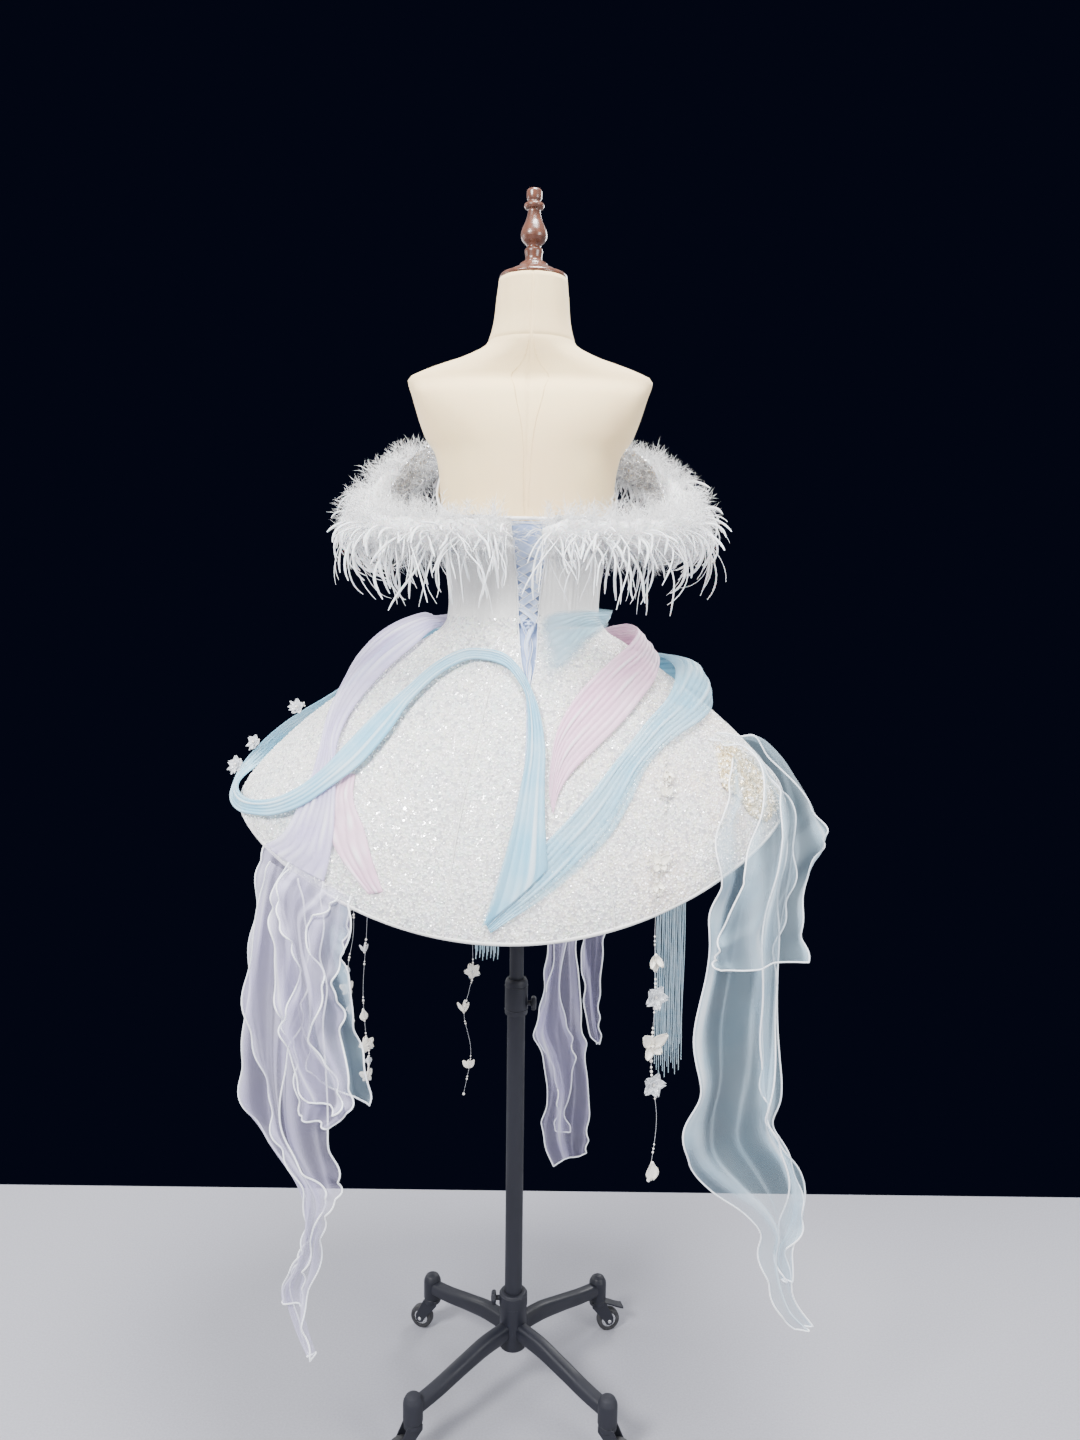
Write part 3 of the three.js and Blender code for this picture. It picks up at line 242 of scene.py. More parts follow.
def cloth_lengths(grid):
    """Cloth coordinates in metres over a grid of points: along it, and across from its middle."""
    along = np.linalg.norm(np.diff(grid, axis=0), axis=-1).mean(1)
    across = np.linalg.norm(np.diff(grid, axis=1), axis=-1)
    u = np.concatenate([[0], np.cumsum(along)])[:, None] * np.ones(grid.shape[1])
    v = np.concatenate([np.zeros((grid.shape[0], 1)), np.cumsum(across, axis=1)], axis=1)
    return np.stack([u, v - v[:, -1:] / 2], -1)


def shell(bag, outer, inner, slot=0, fold=None):
    """A thin closed cloth wall between two grids of points."""
    nu, nv = outer.shape[0] - 1, outer.shape[1] - 1
    n = (nu + 1) * (nv + 1)
    points = np.vstack([outer.reshape(-1, 3), inner.reshape(-1, 3)])
    front = grid_faces(nu, nv)
    edge = np.concatenate([np.arange(nu + 1) * (nv + 1), nu * (nv + 1) + np.arange(1, nv + 1),
                           np.arange(nu - 1, -1, -1) * (nv + 1) + nv, np.arange(nv - 1, 0, -1)])
    ahead = np.roll(edge, -1)
    rim = np.stack([edge, edge + n, ahead + n, ahead], -1)
    faces = outside_out(points, [np.vstack([front, front[:, ::-1] + n, rim])])[0]
    cloth = cloth_lengths(outer).reshape(-1, 2)
    folds = np.zeros(n) if fold is None else np.asarray(fold, float).ravel()
    return bag.add(points, faces, slot, np.vstack([cloth, cloth]), np.concatenate([folds, folds]))


def frames(path):
    """Two directions across a path at each of its points, turned as little as possible."""
    t = unit(np.gradient(path, axis=0))
    a = np.zeros_like(t)
    start = np.array([1.0, 0, 0]) if abs(t[0][2]) > 0.9 else np.array([0, 0, 1.0])
    a[0] = unit(np.cross(start, t[0]))
    for i in range(1, len(t)):
        a[i] = unit(a[i - 1] - t[i] * np.dot(a[i - 1], t[i]))
    return a, np.cross(t, a)


def tube(bag, path, radius, sides=8, slot=0, flat=1.0):
    """A closed round or flattened tube along points, with one radius or a radius for each."""
    path = np.asarray(path, float)
    a, b = frames(path)
    r = np.broadcast_to(np.asarray(radius, float), (len(path),))[:, None, None]
    w = 2 * np.pi * (np.arange(sides) + 0.5) / sides
    ring = np.cos(w)[None, :, None] * a[:, None, :] + flat * np.sin(w)[None, :, None] * b[:, None, :]
    points = (path[:, None, :] + r * ring).reshape(-1, 3)
    cloth = np.stack([np.repeat(gone_along(path), sides), np.tile(np.arange(sides) * MM, len(path))], -1)
    return lofted(bag, points, sides, slot, cloth)


def turned(bag, profile, at=(0, 0, 0), sides=64, slot=0, turn=None):
    """A turned solid from a closed profile of (radius, height) in millimetres."""
    profile = np.asarray(profile, float)
    w = 2 * np.pi * np.arange(sides) / sides
    on_axis = profile[:, 0] < 1e-6
    points, index = [], []
    for (r, z), pole in zip(profile, on_axis):
        index.append(np.full(sides, len(points)) if pole else np.arange(sides) + len(points))
        points += [(0, 0, z)] if pole else [(r * math.cos(a), r * math.sin(a), z) for a in w]
    faces = []
    closed = not (on_axis[0] and on_axis[-1])
    pairs = list(zip(index, index[1:])) + ([(index[-1], index[0])] if closed else [])
    for low, high in pairs:
        for k in range(sides):
            m = (k + 1) % sides
            face = list(dict.fromkeys([int(low[k]), int(low[m]), int(high[m]), int(high[k])]))
            if len(face) > 2:
                faces.append(face)
    p = np.array(points, float)
    volume = sum(np.dot(p[f[0]], np.cross(p[f[k]], p[f[k + 1]])) for f in faces for k in range(1, len(f) - 1))
    if volume < 0:
        faces = [f[::-1] for f in faces]
    if turn is not None:
        p = np.array([turn @ Vector(q) for q in p])
    return bag.add((p + np.asarray(at, float)) * MM, faces, slot)


def rounded(profile, radius, steps=4):
    """A profile with its corners that carry a radius rounded off; rows are (radius, height)."""
    points = [np.asarray(p, float) for p in profile]
    out = [points[0]]
    for before, here, after in zip(points, points[1:], points[2:]):
        near = min(radius, np.linalg.norm(here - before) / 2.2, np.linalg.norm(after - here) / 2.2)
        a, b = here + unit(before - here) * near, here + unit(after - here) * near
        out += [(1 - t) ** 2 * a + 2 * t * (1 - t) * here + t * t * b for t in np.linspace(0, 1, steps)]
    return out + [points[-1]]


# Shader groups
class Wires:
    """Short ways to add nodes to a tree and join them."""

    def __init__(self, tree):
        self.tree = tree
        self.link = tree.links.new

    def node(self, kind, inputs=None, **settings):
        made = self.tree.nodes.new(kind)
        for key, value in settings.items():
            setattr(made, key, value)
        for key, value in (inputs or {}).items():
            if isinstance(value, bpy.types.NodeSocket):
                self.link(value, made.inputs[key])
            else:
                made.inputs[key].default_value = value
        return made

    def math(self, operation, a, b=0.0, clamp=False):
        return self.node("ShaderNodeMath", {0: a, 1: b}, operation=operation, use_clamp=clamp).outputs[0]

    def colours(self, factor, a, b, blend="MIX"):
        inputs = {0: factor, 6: rgba(a), 7: rgba(b)}
        return self.node("ShaderNodeMix", inputs, data_type="RGBA", blend_type=blend).outputs[2]

    def ramp(self, value, low, high):
        return self.node("ShaderNodeMapRange", {0: value, 1: low, 2: high}).outputs[0]


def rgba(colour):
    """A plain colour with its alpha; a socket is left as it is."""
    return colour if isinstance(colour, bpy.types.NodeSocket) else (*colour[:3], 1.0)


def new_group(name, kind, given, made):
    """A node group's wires, inputs and outputs; rows are a name, a kind and a value that it starts with."""
    tree = bpy.data.node_groups.new(name, kind)
    for way, rows in (("INPUT", given), ("OUTPUT", made)):
        for label, holds, *start in rows:
            socket = tree.interface.new_socket(label, in_out=way, socket_type="NodeSocket" + holds)
            if start:
                socket.default_value = start[0]
    w = Wires(tree)
    return w, w.node("NodeGroupInput").outputs, w.node("NodeGroupOutput").inputs


def weave_group(name):
    """Over and under threads of a plain weave, from cloth coordinates in metres."""
    w, given, out = new_group(
        name, "ShaderNodeTree",
        [("Cloth", "Vector"), ("Thread width", "Float", 0.0006), ("Unevenness", "Float", 0.3)],
        [("Height", "Float"), ("Slub", "Float")])
    place = w.node("ShaderNodeVectorMath", {0: given["Cloth"]}, operation="SCALE")
    w.link(w.math("DIVIDE", 1.0, given["Thread width"]), place.inputs["Scale"])
    slub = w.node("ShaderNodeTexNoise", {"Vector": place.outputs[0], "Scale": 0.06, "Detail": 2.0})
    bend = w.node("ShaderNodeVectorMath", {0: slub.outputs["Color"]}, operation="SCALE")
    w.link(given["Unevenness"], bend.inputs["Scale"])
    moved = w.node("ShaderNodeVectorMath", {0: place.outputs[0], 1: bend.outputs[0]}, operation="ADD")
    part = w.node("ShaderNodeSeparateXYZ", {0: moved.outputs[0]})
    warp, weft = (w.math("SINE", w.math("MULTIPLY", part.outputs[i], math.pi)) for i in range(2))
    w.link(w.math("MULTIPLY", warp, weft), out["Height"])
    w.link(slub.outputs[0], out["Slub"])
    return w.tree


def glitter_group(name):
    """Random flakes: a tint for each, a mask of the bright ones and a height that tilts them."""
    w, given, out = new_group(
        name, "ShaderNodeTree",
        [("Place", "Vector"), ("Flake size", "Float", 0.0016), ("Bright share", "Float", 0.12)],
        [("Tint", "Color"), ("Bright", "Float"), ("Height", "Float")])
    scale = w.math("DIVIDE", 1.0, given["Flake size"])
    cells = w.node("ShaderNodeTexVoronoi", {"Vector": given["Place"], "Scale": scale})
    part = w.node("ShaderNodeSeparateColor", {0: cells.outputs["Color"]})
    bright = w.math("GREATER_THAN", part.outputs[0], w.math("SUBTRACT", 1.0, given["Bright share"]))
    near = w.math("LESS_THAN", cells.outputs["Distance"], 0.42)
    w.link(cells.outputs["Color"], out["Tint"])
    w.link(w.math("MULTIPLY", bright, near), out["Bright"])
    w.link(w.math("MULTIPLY", cells.outputs["Distance"], part.outputs[1]), out["Height"])
    return w.tree


def drift_group(name):
    """A colour that drifts a little towards another in soft patches."""
    w, given, out = new_group(
        name, "ShaderNodeTree",
        [("Place", "Vector"), ("Patch size", "Float", 0.1), ("Main", "Color"), ("Other", "Color"),
         ("Amount", "Float", 0.5)],
        [("Colour", "Color"), ("Patch", "Float")])
    scale = w.math("DIVIDE", 1.0, given["Patch size"])
    noise = w.node("ShaderNodeTexNoise", {"Vector": given["Place"], "Scale": scale, "Detail": 3.0})
    patch = w.ramp(noise.outputs[0], 0.35, 0.65)
    share = w.math("MULTIPLY", patch, given["Amount"])
    w.link(w.colours(share, given["Main"], given["Other"]), out["Colour"])
    w.link(patch, out["Patch"])
    return w.tree


GROUP_MAKERS = {"Plain weave": weave_group, "Glitter flakes": glitter_group, "Colour drift": drift_group}


class Finish(Wires):
    """A material under way: its Principled shader, its place coordinates and the shared groups."""

    def __init__(self, name, plain):
        self.material = bpy.data.materials.new(name)
        self.material.use_nodes = True
        super().__init__(self.material.node_tree)
        self.shader = self.tree.nodes["Principled BSDF"]
        self.place = self.node("ShaderNodeTexCoord").outputs["Object"]
        for key, value in plain.items():
            self.shader.inputs[key.replace("_", " ")].default_value = value

    def group(self, name, inputs):
        tree = bpy.data.node_groups.get(name) or GROUP_MAKERS[name](name)
        return self.node("ShaderNodeGroup", inputs, node_tree=tree).outputs

    def weave(self, width, unevenness):
        cloth = self.node("ShaderNodeUVMap", uv_map="cloth").outputs[0]
        return self.group("Plain weave", {"Cloth": cloth, "Thread width": width, "Unevenness": unevenness})

    def flakes(self, size, share):
        return self.group("Glitter flakes", {"Place": self.place, "Flake size": size, "Bright share": share})

    def drift(self, size, main, other, amount):
        return self.group("Colour drift", {"Place": self.place, "Patch size": size, "Main": rgba(main),
                                           "Other": rgba(other), "Amount": amount})

    def noise(self, scale, detail):
        inputs = {"Vector": self.place, "Scale": scale, "Detail": detail}
        return self.node("ShaderNodeTexNoise", inputs).outputs[0]

    def cells(self, scale):
        return self.node("ShaderNodeTexVoronoi", {"Vector": self.place, "Scale": scale}).outputs

    def across(self):
        return self.node("ShaderNodeSeparateXYZ", {0: self.place}).outputs[0]

    def bump(self, height, depth, strength, under=None):
        made = self.node("ShaderNodeBump", {"Height": height, "Distance": depth, "Strength": strength})
        if under:
            self.link(under, made.inputs["Normal"])
        return made.outputs[0]

    def wire(self, **sources):
        for key, source in sources.items():
            self.link(source, self.shader.inputs[key.replace("_", " ")])


def looks():
    return bpy.context.scene.dress_colours


def sizes():
    return bpy.context.scene.dress_sizes


LOOKS = {}


def look(name, **plain):
    """Files a function under a material's name, with the plain values of that material's shader."""
    def filed(maker):
        LOOKS[name] = (maker, plain)
        return maker
    return filed


def finish(name):
    """The named material, made the first time that it is asked for."""
    if name not in bpy.data.materials:
        maker, plain = LOOKS[name]
        maker(Finish(name, plain))
    return bpy.data.materials[name]


@look("Canvas", Roughness=0.85, Sheen_Weight=0.25, Specular_IOR_Level=0.3)
def canvas(f):
    weave = f.weave(0.0009, 0.5)
    drift = f.drift(0.12, looks().canvas, (0.88, 0.62, 0.33), 0.55)
    shade = f.colours(f.math("MULTIPLY", weave["Slub"], 0.25), drift["Colour"], (0.78, 0.66, 0.48))
    f.wire(Base_Color=shade, Normal=f.bump(weave["Height"], 0.0002, 0.5))


@look("Walnut", Coat_Weight=0.35, Coat_Roughness=0.18, Specular_IOR_Level=0.5)
def walnut(f):
    stretch = f.node("ShaderNodeMapping", {"Vector": f.place, "Scale": (9, 9, 1.4)}).outputs[0]
    grain = f.node("ShaderNodeTexNoise", {"Vector": stretch, "Scale": 28.0, "Detail": 5.0}).outputs[0]
    rings = f.node("ShaderNodeTexWave", {"Vector": f.place, "Scale": 26.0, "Distortion": 7.0, "Detail": 3.0},
                   bands_direction="X")
    tone = f.colours(grain, looks().walnut, (0.075, 0.028, 0.016))
    tone = f.colours(f.math("MULTIPLY", rings.outputs[1], 0.35), tone, (0.03, 0.012, 0.008))
    f.wire(Base_Color=tone, Roughness=f.ramp(grain, 0.1, 1.4), Normal=f.bump(grain, 0.0002, 0.35))


@look("Satin", Sheen_Weight=0.35, Specular_IOR_Level=0.55)
def satin(f):
    flakes = f.flakes(0.0022, 0.14)
    drift = f.drift(0.05, looks().satin, (0.80, 0.79, 0.77), 0.5)
    tone = f.colours(f.math("MULTIPLY", flakes["Bright"], 0.7), drift["Colour"], (1, 1, 1))
    rough = f.math("SUBTRACT", 0.5, f.math("MULTIPLY", flakes["Bright"], 0.3))
    under = f.bump(f.weave(0.0005, 0.2)["Height"], 0.00012, 0.5)
    f.wire(Base_Color=tone, Roughness=rough, Normal=f.bump(flakes["Height"], 0.0003, 0.25, under))


@look("Glitter cloth", Sheen_Weight=0.15, Specular_IOR_Level=0.6)
def glitter(f):
    fine, coarse = f.flakes(0.0036, 0.26), f.flakes(0.0070, 0.16)
    side = f.colours(f.ramp(f.across(), -0.02, 0.30), looks().glitter, (0.84, 0.71, 0.64))
    warm = f.drift(0.11, side, (0.84, 0.76, 0.70), 0.45)
    cool = f.drift(0.06, warm["Colour"], (0.68, 0.75, 0.80), 0.45)
    flaked = f.colours(0.3, cool["Colour"], fine["Tint"], "SOFT_LIGHT")
    part = f.node("ShaderNodeSeparateColor", {0: fine["Tint"]})
    dim = f.math("MULTIPLY", f.ramp(part.outputs[1], 0.5, 0.0), 0.8)
    flaked = f.colours(dim, flaked, (0.34, 0.35, 0.37))
    bright = f.math("MAXIMUM", fine["Bright"], coarse["Bright"])
    tone = f.colours(f.math("MULTIPLY", bright, 0.9), flaked, (1, 1, 1))
    rough = f.math("SUBTRACT", 0.58, f.math("MULTIPLY", bright, 0.42))
    under = f.bump(fine["Height"], 0.0024, 0.8)
    f.wire(Base_Color=tone, Roughness=rough, Metallic=f.math("MULTIPLY", coarse["Bright"], 0.35),
           Normal=f.bump(coarse["Height"], 0.0024, 0.35, under))


def sheer(name, which, veil, other=None):
    """Sheer cloth: denser on the crests of its folds, with a painted highlight there, painted shade in the
    valleys and where fold is low, and thinner where fold is below zero.
    """
    if name in bpy.data.materials:
        return bpy.data.materials[name]
    colour = tuple(getattr(looks(), which))
    f = Finish(name, {"Roughness": 0.4, "Sheen Weight": 0.4, "Specular IOR Level": 0.5})
    fold = f.node("ShaderNodeAttribute", attribute_name="fold").outputs["Fac"]
    tone = f.drift(0.06, colour, [mix(c, 0.95, 0.4) for c in colour], 0.7)["Colour"]
    if other:
        tone = f.colours(f.ramp(f.across(), 0.03, 0.10), tone, other)
    # Painted shade: the valleys of the folds, and cloth where fold is low, are mixed towards a darker tone
    painted_shade = f.math("MULTIPLY", f.ramp(fold, 0.35, -0.1), 0.5)
    tone = f.colours(painted_shade, tone, [c * 0.74 for c in colour])
    # Painted highlight: the crests of the folds are mixed towards near-white
    tone = f.colours(f.math("MULTIPLY", f.ramp(fold, 0.5, 1.0), 0.75), tone, (0.96, 0.98, 1))
    thick = f.math("MULTIPLY", f.math("MAXIMUM", fold, 0.0), (1 - veil) * 0.6)
    thin = f.math("MULTIPLY", f.math("MINIMUM", fold, 0.0), veil)
    dense = f.math("ADD", f.math("ADD", thick, veil), thin, clamp=True)
    f.wire(Base_Color=tone, Alpha=dense, Normal=f.bump(f.weave(0.0005, 0.3)["Height"], 0.0001, 0.3))
    return f.material


@look("Satin ribbon", Roughness=0.38, Sheen_Weight=0.3, Specular_IOR_Level=0.6)
def ribbon(f):
    drift = f.drift(0.012, (0.46, 0.57, 0.84), (0.66, 0.75, 0.90), 0.8)
    f.wire(Base_Color=drift["Colour"], Normal=f.bump(f.weave(0.0004, 0.2)["Height"], 0.00015, 0.5))


@look("Panel satin", Roughness=0.45, Sheen_Weight=0.3)
def panel_blue(f):
    drift = f.drift(0.02, looks().ribbon, (0.26, 0.38, 0.68), 0.8)
    f.wire(Base_Color=drift["Colour"], Normal=f.bump(f.weave(0.0005, 0.2)["Height"], 0.00015, 0.5))


@look("White cord", Roughness=0.5, Sheen_Weight=0.3)
def cord_white(f):
    twist = f.node("ShaderNodeTexWave", {"Vector": f.place, "Scale": 420.0, "Distortion": 1.0},
                   bands_direction="DIAGONAL").outputs[1]
    tone = f.colours(f.math("MULTIPLY", twist, 0.25), looks().trim, (0.72, 0.74, 0.78))
    f.wire(Base_Color=tone, Normal=f.bump(twist, 0.0002, 0.4))


# The rolled hem glows a little: painted light that keeps its thin line bright
@look("Rolled hem", Roughness=0.4, Sheen_Weight=0.3, Emission_Strength=0.35)
def rolled_hem(f):
    tone = f.drift(0.03, looks().trim, (0.80, 0.86, 0.95), 0.7)["Colour"]
    f.wire(Base_Color=tone, Emission_Color=tone)


@look("Silver thread", Metallic=0.6, Roughness=0.4)
def silver_thread(f):
    f.wire(Base_Color=f.drift(0.004, (0.50, 0.51, 0.54), (0.78, 0.78, 0.80), 0.9)["Colour"])


@look("Feather", Roughness=0.75, Sheen_Weight=0.6, Specular_IOR_Level=0.25, Subsurface_Weight=0.15)
def feather(f):
    drift = f.drift(0.02, looks().feather, (0.86, 0.86, 0.87), 0.6)
    f.wire(Base_Color=drift["Colour"], Normal=f.bump(f.noise(900.0, 2.0), 0.0004, 0.5))


@look("Silver net", Roughness=0.5, Metallic=0.15)
def net(f):
    drift = f.drift(0.02, looks().sequin, (0.36, 0.37, 0.40), 0.8)
    f.wire(Base_Color=drift["Colour"], Normal=f.bump(f.weave(0.0008, 0.4)["Height"], 0.0003, 0.8))


@look("Silver sequin", Roughness=0.22, Metallic=0.85, Coat_Weight=0.3)
def sequin(f):
    f.wire(Base_Color=f.drift(0.004, (0.80, 0.81, 0.84), (0.42, 0.43, 0.47), 1.0)["Colour"])


# The flakes glow a little: a painted sparkle that shows under any light
@look("Glitter flake", Roughness=0.2, Metallic=0.2, Coat_Weight=0.6, Coat_Roughness=0.1,
      Emission_Strength=1.6)
def flake(f):
    tone = f.colours(0.14, (0.97, 0.96, 0.95), f.cells(260.0)["Color"])
    f.wire(Base_Color=tone, Emission_Color=tone)


@look("Pearl", Roughness=0.22, Coat_Weight=0.8, Coat_Roughness=0.08, Sheen_Weight=0.2)
def pearl(f):
    f.wire(Base_Color=f.drift(0.005, looks().pearl, (0.90, 0.82, 0.72), 0.8)["Colour"])


@look("Champagne beading", Roughness=0.28, Metallic=0.25, Coat_Weight=0.5)
def champagne(f):
    cells = f.cells(230.0)
    part = f.node("ShaderNodeSeparateColor", {0: cells["Color"]})
    tone = f.colours(part.outputs[0], looks().champagne, (0.92, 0.84, 0.66))
    f.wire(Base_Color=tone, Normal=f.bump(cells["Distance"], 0.0006, 0.5))


@look("Ivory petal", Roughness=0.35, Sheen_Weight=0.3, Coat_Weight=0.2, Subsurface_Weight=0.1)
def petal(f):
    veins = f.noise(160.0, 4.0)
    f.wire(Base_Color=f.colours(veins, looks().petal, (0.93, 0.90, 0.83)), Normal=f.bump(veins, 0.0006, 0.5))


@look("Clear petal", Roughness=0.25, Coat_Weight=0.5)
def clear_petal(f):
    veins = f.noise(220.0, 3.0)
    veil = f.math("ADD", 0.32, f.math("MULTIPLY", f.ramp(veins, 0.3, 0.6), 0.45), clamp=True)
    tone = f.colours(veins, (0.80, 0.84, 0.90), (0.97, 0.97, 0.98))
    f.wire(Base_Color=tone, Alpha=veil, Normal=f.bump(veins, 0.0005, 0.4))


@look("Tassel string", Roughness=0.5, Sheen_Weight=0.3)
def tassel_string(f):
    f.wire(Base_Color=f.drift(0.01, looks().string, (0.66, 0.80, 0.88), 0.8)["Colour"])


@look("Powder coat", Specular_IOR_Level=0.4)
def powder_coat(f):
    drift = f.drift(0.09, looks().powder, (0.015, 0.016, 0.024), 0.8)
    f.wire(Base_Color=drift["Colour"], Roughness=f.ramp(drift["Patch"], -1.3, 1.9),
           Normal=f.bump(f.noise(900.0, 2.0), 0.00025, 0.45))


@look("Wheel black", Specular_IOR_Level=0.45)
def wheel_black(f):
    scuff = f.noise(260.0, 4.0)
    tone = f.colours(f.ramp(scuff, 0.5, 0.75), looks().tyre, (0.07, 0.07, 0.075))
    f.wire(Base_Color=tone, Roughness=f.ramp(scuff, -0.6, 1.4), Normal=f.bump(scuff, 0.0001, 0.3))


@look("Bright metal", Metallic=1.0)
def bright_metal(f):
    brushed = f.noise(500.0, 2.0)
    tone = f.colours(brushed, (0.62, 0.63, 0.65), (0.80, 0.80, 0.81))
    f.wire(Base_Color=tone, Roughness=f.ramp(brushed, -0.2, 2.4))


@look("Floor vinyl", Roughness=0.7)
def floor_vinyl(f):
    main = looks().floor
    f.wire(Base_Color=f.colours(f.ramp(f.noise(300.0, 2.0), 0.3, 0.7), main, [c * 0.86 for c in main]))


# Geometry Nodes
def scatter_tree(name, shape):
    """Scatters small closed shapes over the outer faces: a bead, disc or flake, or an object's mesh."""
    w, given, out = new_group(
        name, "GeometryNodeTree",
        [("Geometry", "Geometry"), ("Density", "Float", 1000.0), ("Size", "Float", 0.002),
         ("Size change", "Float", 0.3), ("Tilt", "Float", 0.3), ("Seed", "Int", 1), ("Material", "Material"),
         ("Shape", "Object")],
        [("Geometry", "Geometry")])
    chosen = w.node("GeometryNodeInputNamedAttribute", {"Name": "scatter"}, data_type="FLOAT")
    spread = w.node("GeometryNodeDistributePointsOnFaces", {
        "Mesh": given["Geometry"], "Density": given["Density"], "Seed": given["Seed"],
        "Selection": w.math("GREATER_THAN", chosen.outputs["Attribute"], 0.5)})
    if shape == "object":
        source = w.node("GeometryNodeObjectInfo", {"Object": given["Shape"]}).outputs["Geometry"]
    elif shape == "bead":
        source = w.node("GeometryNodeMeshIcoSphere", {"Radius": 1.0, "Subdivisions": 1}).outputs[0]
    else:
        source = w.node("GeometryNodeMeshCone", {
            "Vertices": 6 if shape == "disc" else 4, "Side Segments": 1, "Radius Top": 0.0,
            "Radius Bottom": 1.0, "Depth": 0.3}).outputs[0]
    low = w.math("SUBTRACT", 1.0, given["Size change"])
    high = w.math("ADD", 1.0, given["Size change"])
    vary = w.node("FunctionNodeRandomValue", {"Min": low, "Max": high, "Seed": 3}, data_type="FLOAT")
    vary = next(o for o in vary.outputs if o.enabled)
    scale = w.math("MULTIPLY", given["Size"], vary)
    back = w.math("MULTIPLY", given["Tilt"], -1.0)
    least = w.node("ShaderNodeCombineXYZ", {0: back, 1: back, 2: 0.0}).outputs[0]
    most = w.node("ShaderNodeCombineXYZ", {0: given["Tilt"], 1: given["Tilt"], 2: 6.283}).outputs[0]
    turn = w.node("FunctionNodeRandomValue", {"Seed": 5}, data_type="FLOAT_VECTOR")
    for value, entry in zip((least, most), [s for s in turn.inputs if s.enabled]):
        w.link(value, entry)
    turn = next(o for o in turn.outputs if o.enabled)
    spin = w.node("FunctionNodeEulerToRotation", {0: turn}).outputs[0]
    facing = w.node("FunctionNodeRotateRotation", {0: spread.outputs["Rotation"], 1: spin},
                    rotation_space="LOCAL").outputs[0]
    put = w.node("GeometryNodeInstanceOnPoints", {
        "Points": spread.outputs["Points"], "Instance": source, "Rotation": facing, "Scale": scale})
    real = w.node("GeometryNodeRealizeInstances", {0: put.outputs[0]})
    inputs = {"Geometry": real.outputs[0], "Material": given["Material"]}
    w.link(w.node("GeometryNodeSetMaterial", inputs).outputs[0], out[0])
    return w.tree


def scattered(name, bag, shape, material, chosen=None, shape_object=None, **settings):
    """A plain mesh of what a scatter tree puts on the bag's faces, where chosen is above a half."""
    ground = bag.make(name + "_ground", [])
    values = np.ones(len(ground.data.vertices)) if chosen is None else np.asarray(chosen, float)
    chance = ground.data.attributes.new("scatter", "FLOAT", "POINT")
    chance.data.foreach_set("value", values.astype(np.float32))
    key = "Scatter " + shape
    tree = bpy.data.node_groups.get(key) or scatter_tree(key, shape)
    modifier = ground.modifiers.new("scatter", "NODES")
    modifier.node_group = tree
    found = {s.name: s.identifier for s in tree.interface.items_tree if s.in_out == "INPUT"}
    modifier[found["Material"]] = material
    if shape_object:
        modifier[found["Shape"]] = shape_object
    for key, value in settings.items():
        modifier[found[key.replace("_", " ")]] = value
    bpy.context.view_layer.update()
    graph = bpy.context.evaluated_depsgraph_get()
    mesh = bpy.data.meshes.new_from_object(ground.evaluated_get(graph))
    mesh.name = name
    ground.modifiers.clear()
    bpy.data.objects.remove(ground)
    mesh.materials.clear()
    mesh.materials.append(material)
    obj = bpy.data.objects.new(name, mesh)
    bpy.context.scene.collection.objects.link(obj)
    return obj


# Bodice, lacing and skirt lines
TOP_EDGE = named(["turn", "z"], [
    [0, 1405], [35, 1405], [62, 1414], [92, 1446], [120, 1500], [142, 1540], [163, 1528], [180, 1497]])
LACE_GAP = named(["s", "half"], [
    [-0.52, 31], [-0.33, 21.4], [-0.16, 15.4], [0, 13], [0.11, 10], [0.22, 0.5], [0.23, SEAM_GAP / 2],
    [1, SEAM_GAP / 2]])
BODICE_SEAM = {"back": 62, "side": 116}
GORE = {"back": 15.5, "side": 85, "front": 150}
BODICE_FOOT = -0.0025
# How much further than half a seam gap each panel keeps from its seam
SEAM_EASE = 1.3
# The least share of its length times its width that a sheet of cloth is counted as covering when its area is
# worked out
LEAST_FILL = 0.31


def top_s(phi):
    turn = np.abs(((phi - CENTRE_BACK + 540) % 360) - 180)
    return (WAIST_Z - column(TOP_EDGE, "turn", "z", turn)) / BODICE_DROP


def side_at(s):
    s = np.asarray(s, float)
    bodice = column(FORM, "z", "side", WAIST_Z - s * BODICE_DROP) + BODICE_CLEAR + CLOTH
    f = 1 - np.abs(1 - np.clip(s, 0, 1)) ** BELL
    return np.where(s < 0, bodice, mix(WAIST["side"], HEM["side"], f))


def degrees(mm, s):
    return mm / side_at(s) * (180 / math.pi)


def lace_edge(s, sign):
    return CENTRE_BACK + sign * degrees(column(LACE_GAP, "s", "half", s), s)


def seam(phi, s, sign):
    return phi + sign * degrees(SEAM_GAP / 2, s) * SEAM_EASE


def grid(nu, nv):
    return np.meshgrid(np.linspace(0, 1, nu + 1), np.linspace(0, 1, nv + 1), indexing="ij")


def laid(bag, phi, s, lift, thick):
    """Cloth of one thickness in millimetres lying over the dress; lift is its outer face."""
    return shell(bag, dress(phi, s, lift), dress(phi, s, lift - thick))


def state_cut(outer):
    across = np.linalg.norm(np.diff(outer, axis=1), axis=-1).sum(1).max()
    along = np.linalg.norm(np.diff(outer, axis=0), axis=-1).sum(0).max()
    a, b = np.diff(outer, axis=0)[:, :-1], np.diff(outer, axis=1)[:-1]
    area = np.linalg.norm(np.cross(a, b), axis=-1).sum()
    area = min(max(area, LEAST_FILL * across * along), across * along)


def settle(obj, body, slot=None, *nodes):
    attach(obj, body)
    if nodes:
        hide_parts(*nodes)
    return obj


def metres(name, words, value):
    return bpy.props.FloatProperty(name=name, description=words, default=value, unit="LENGTH")


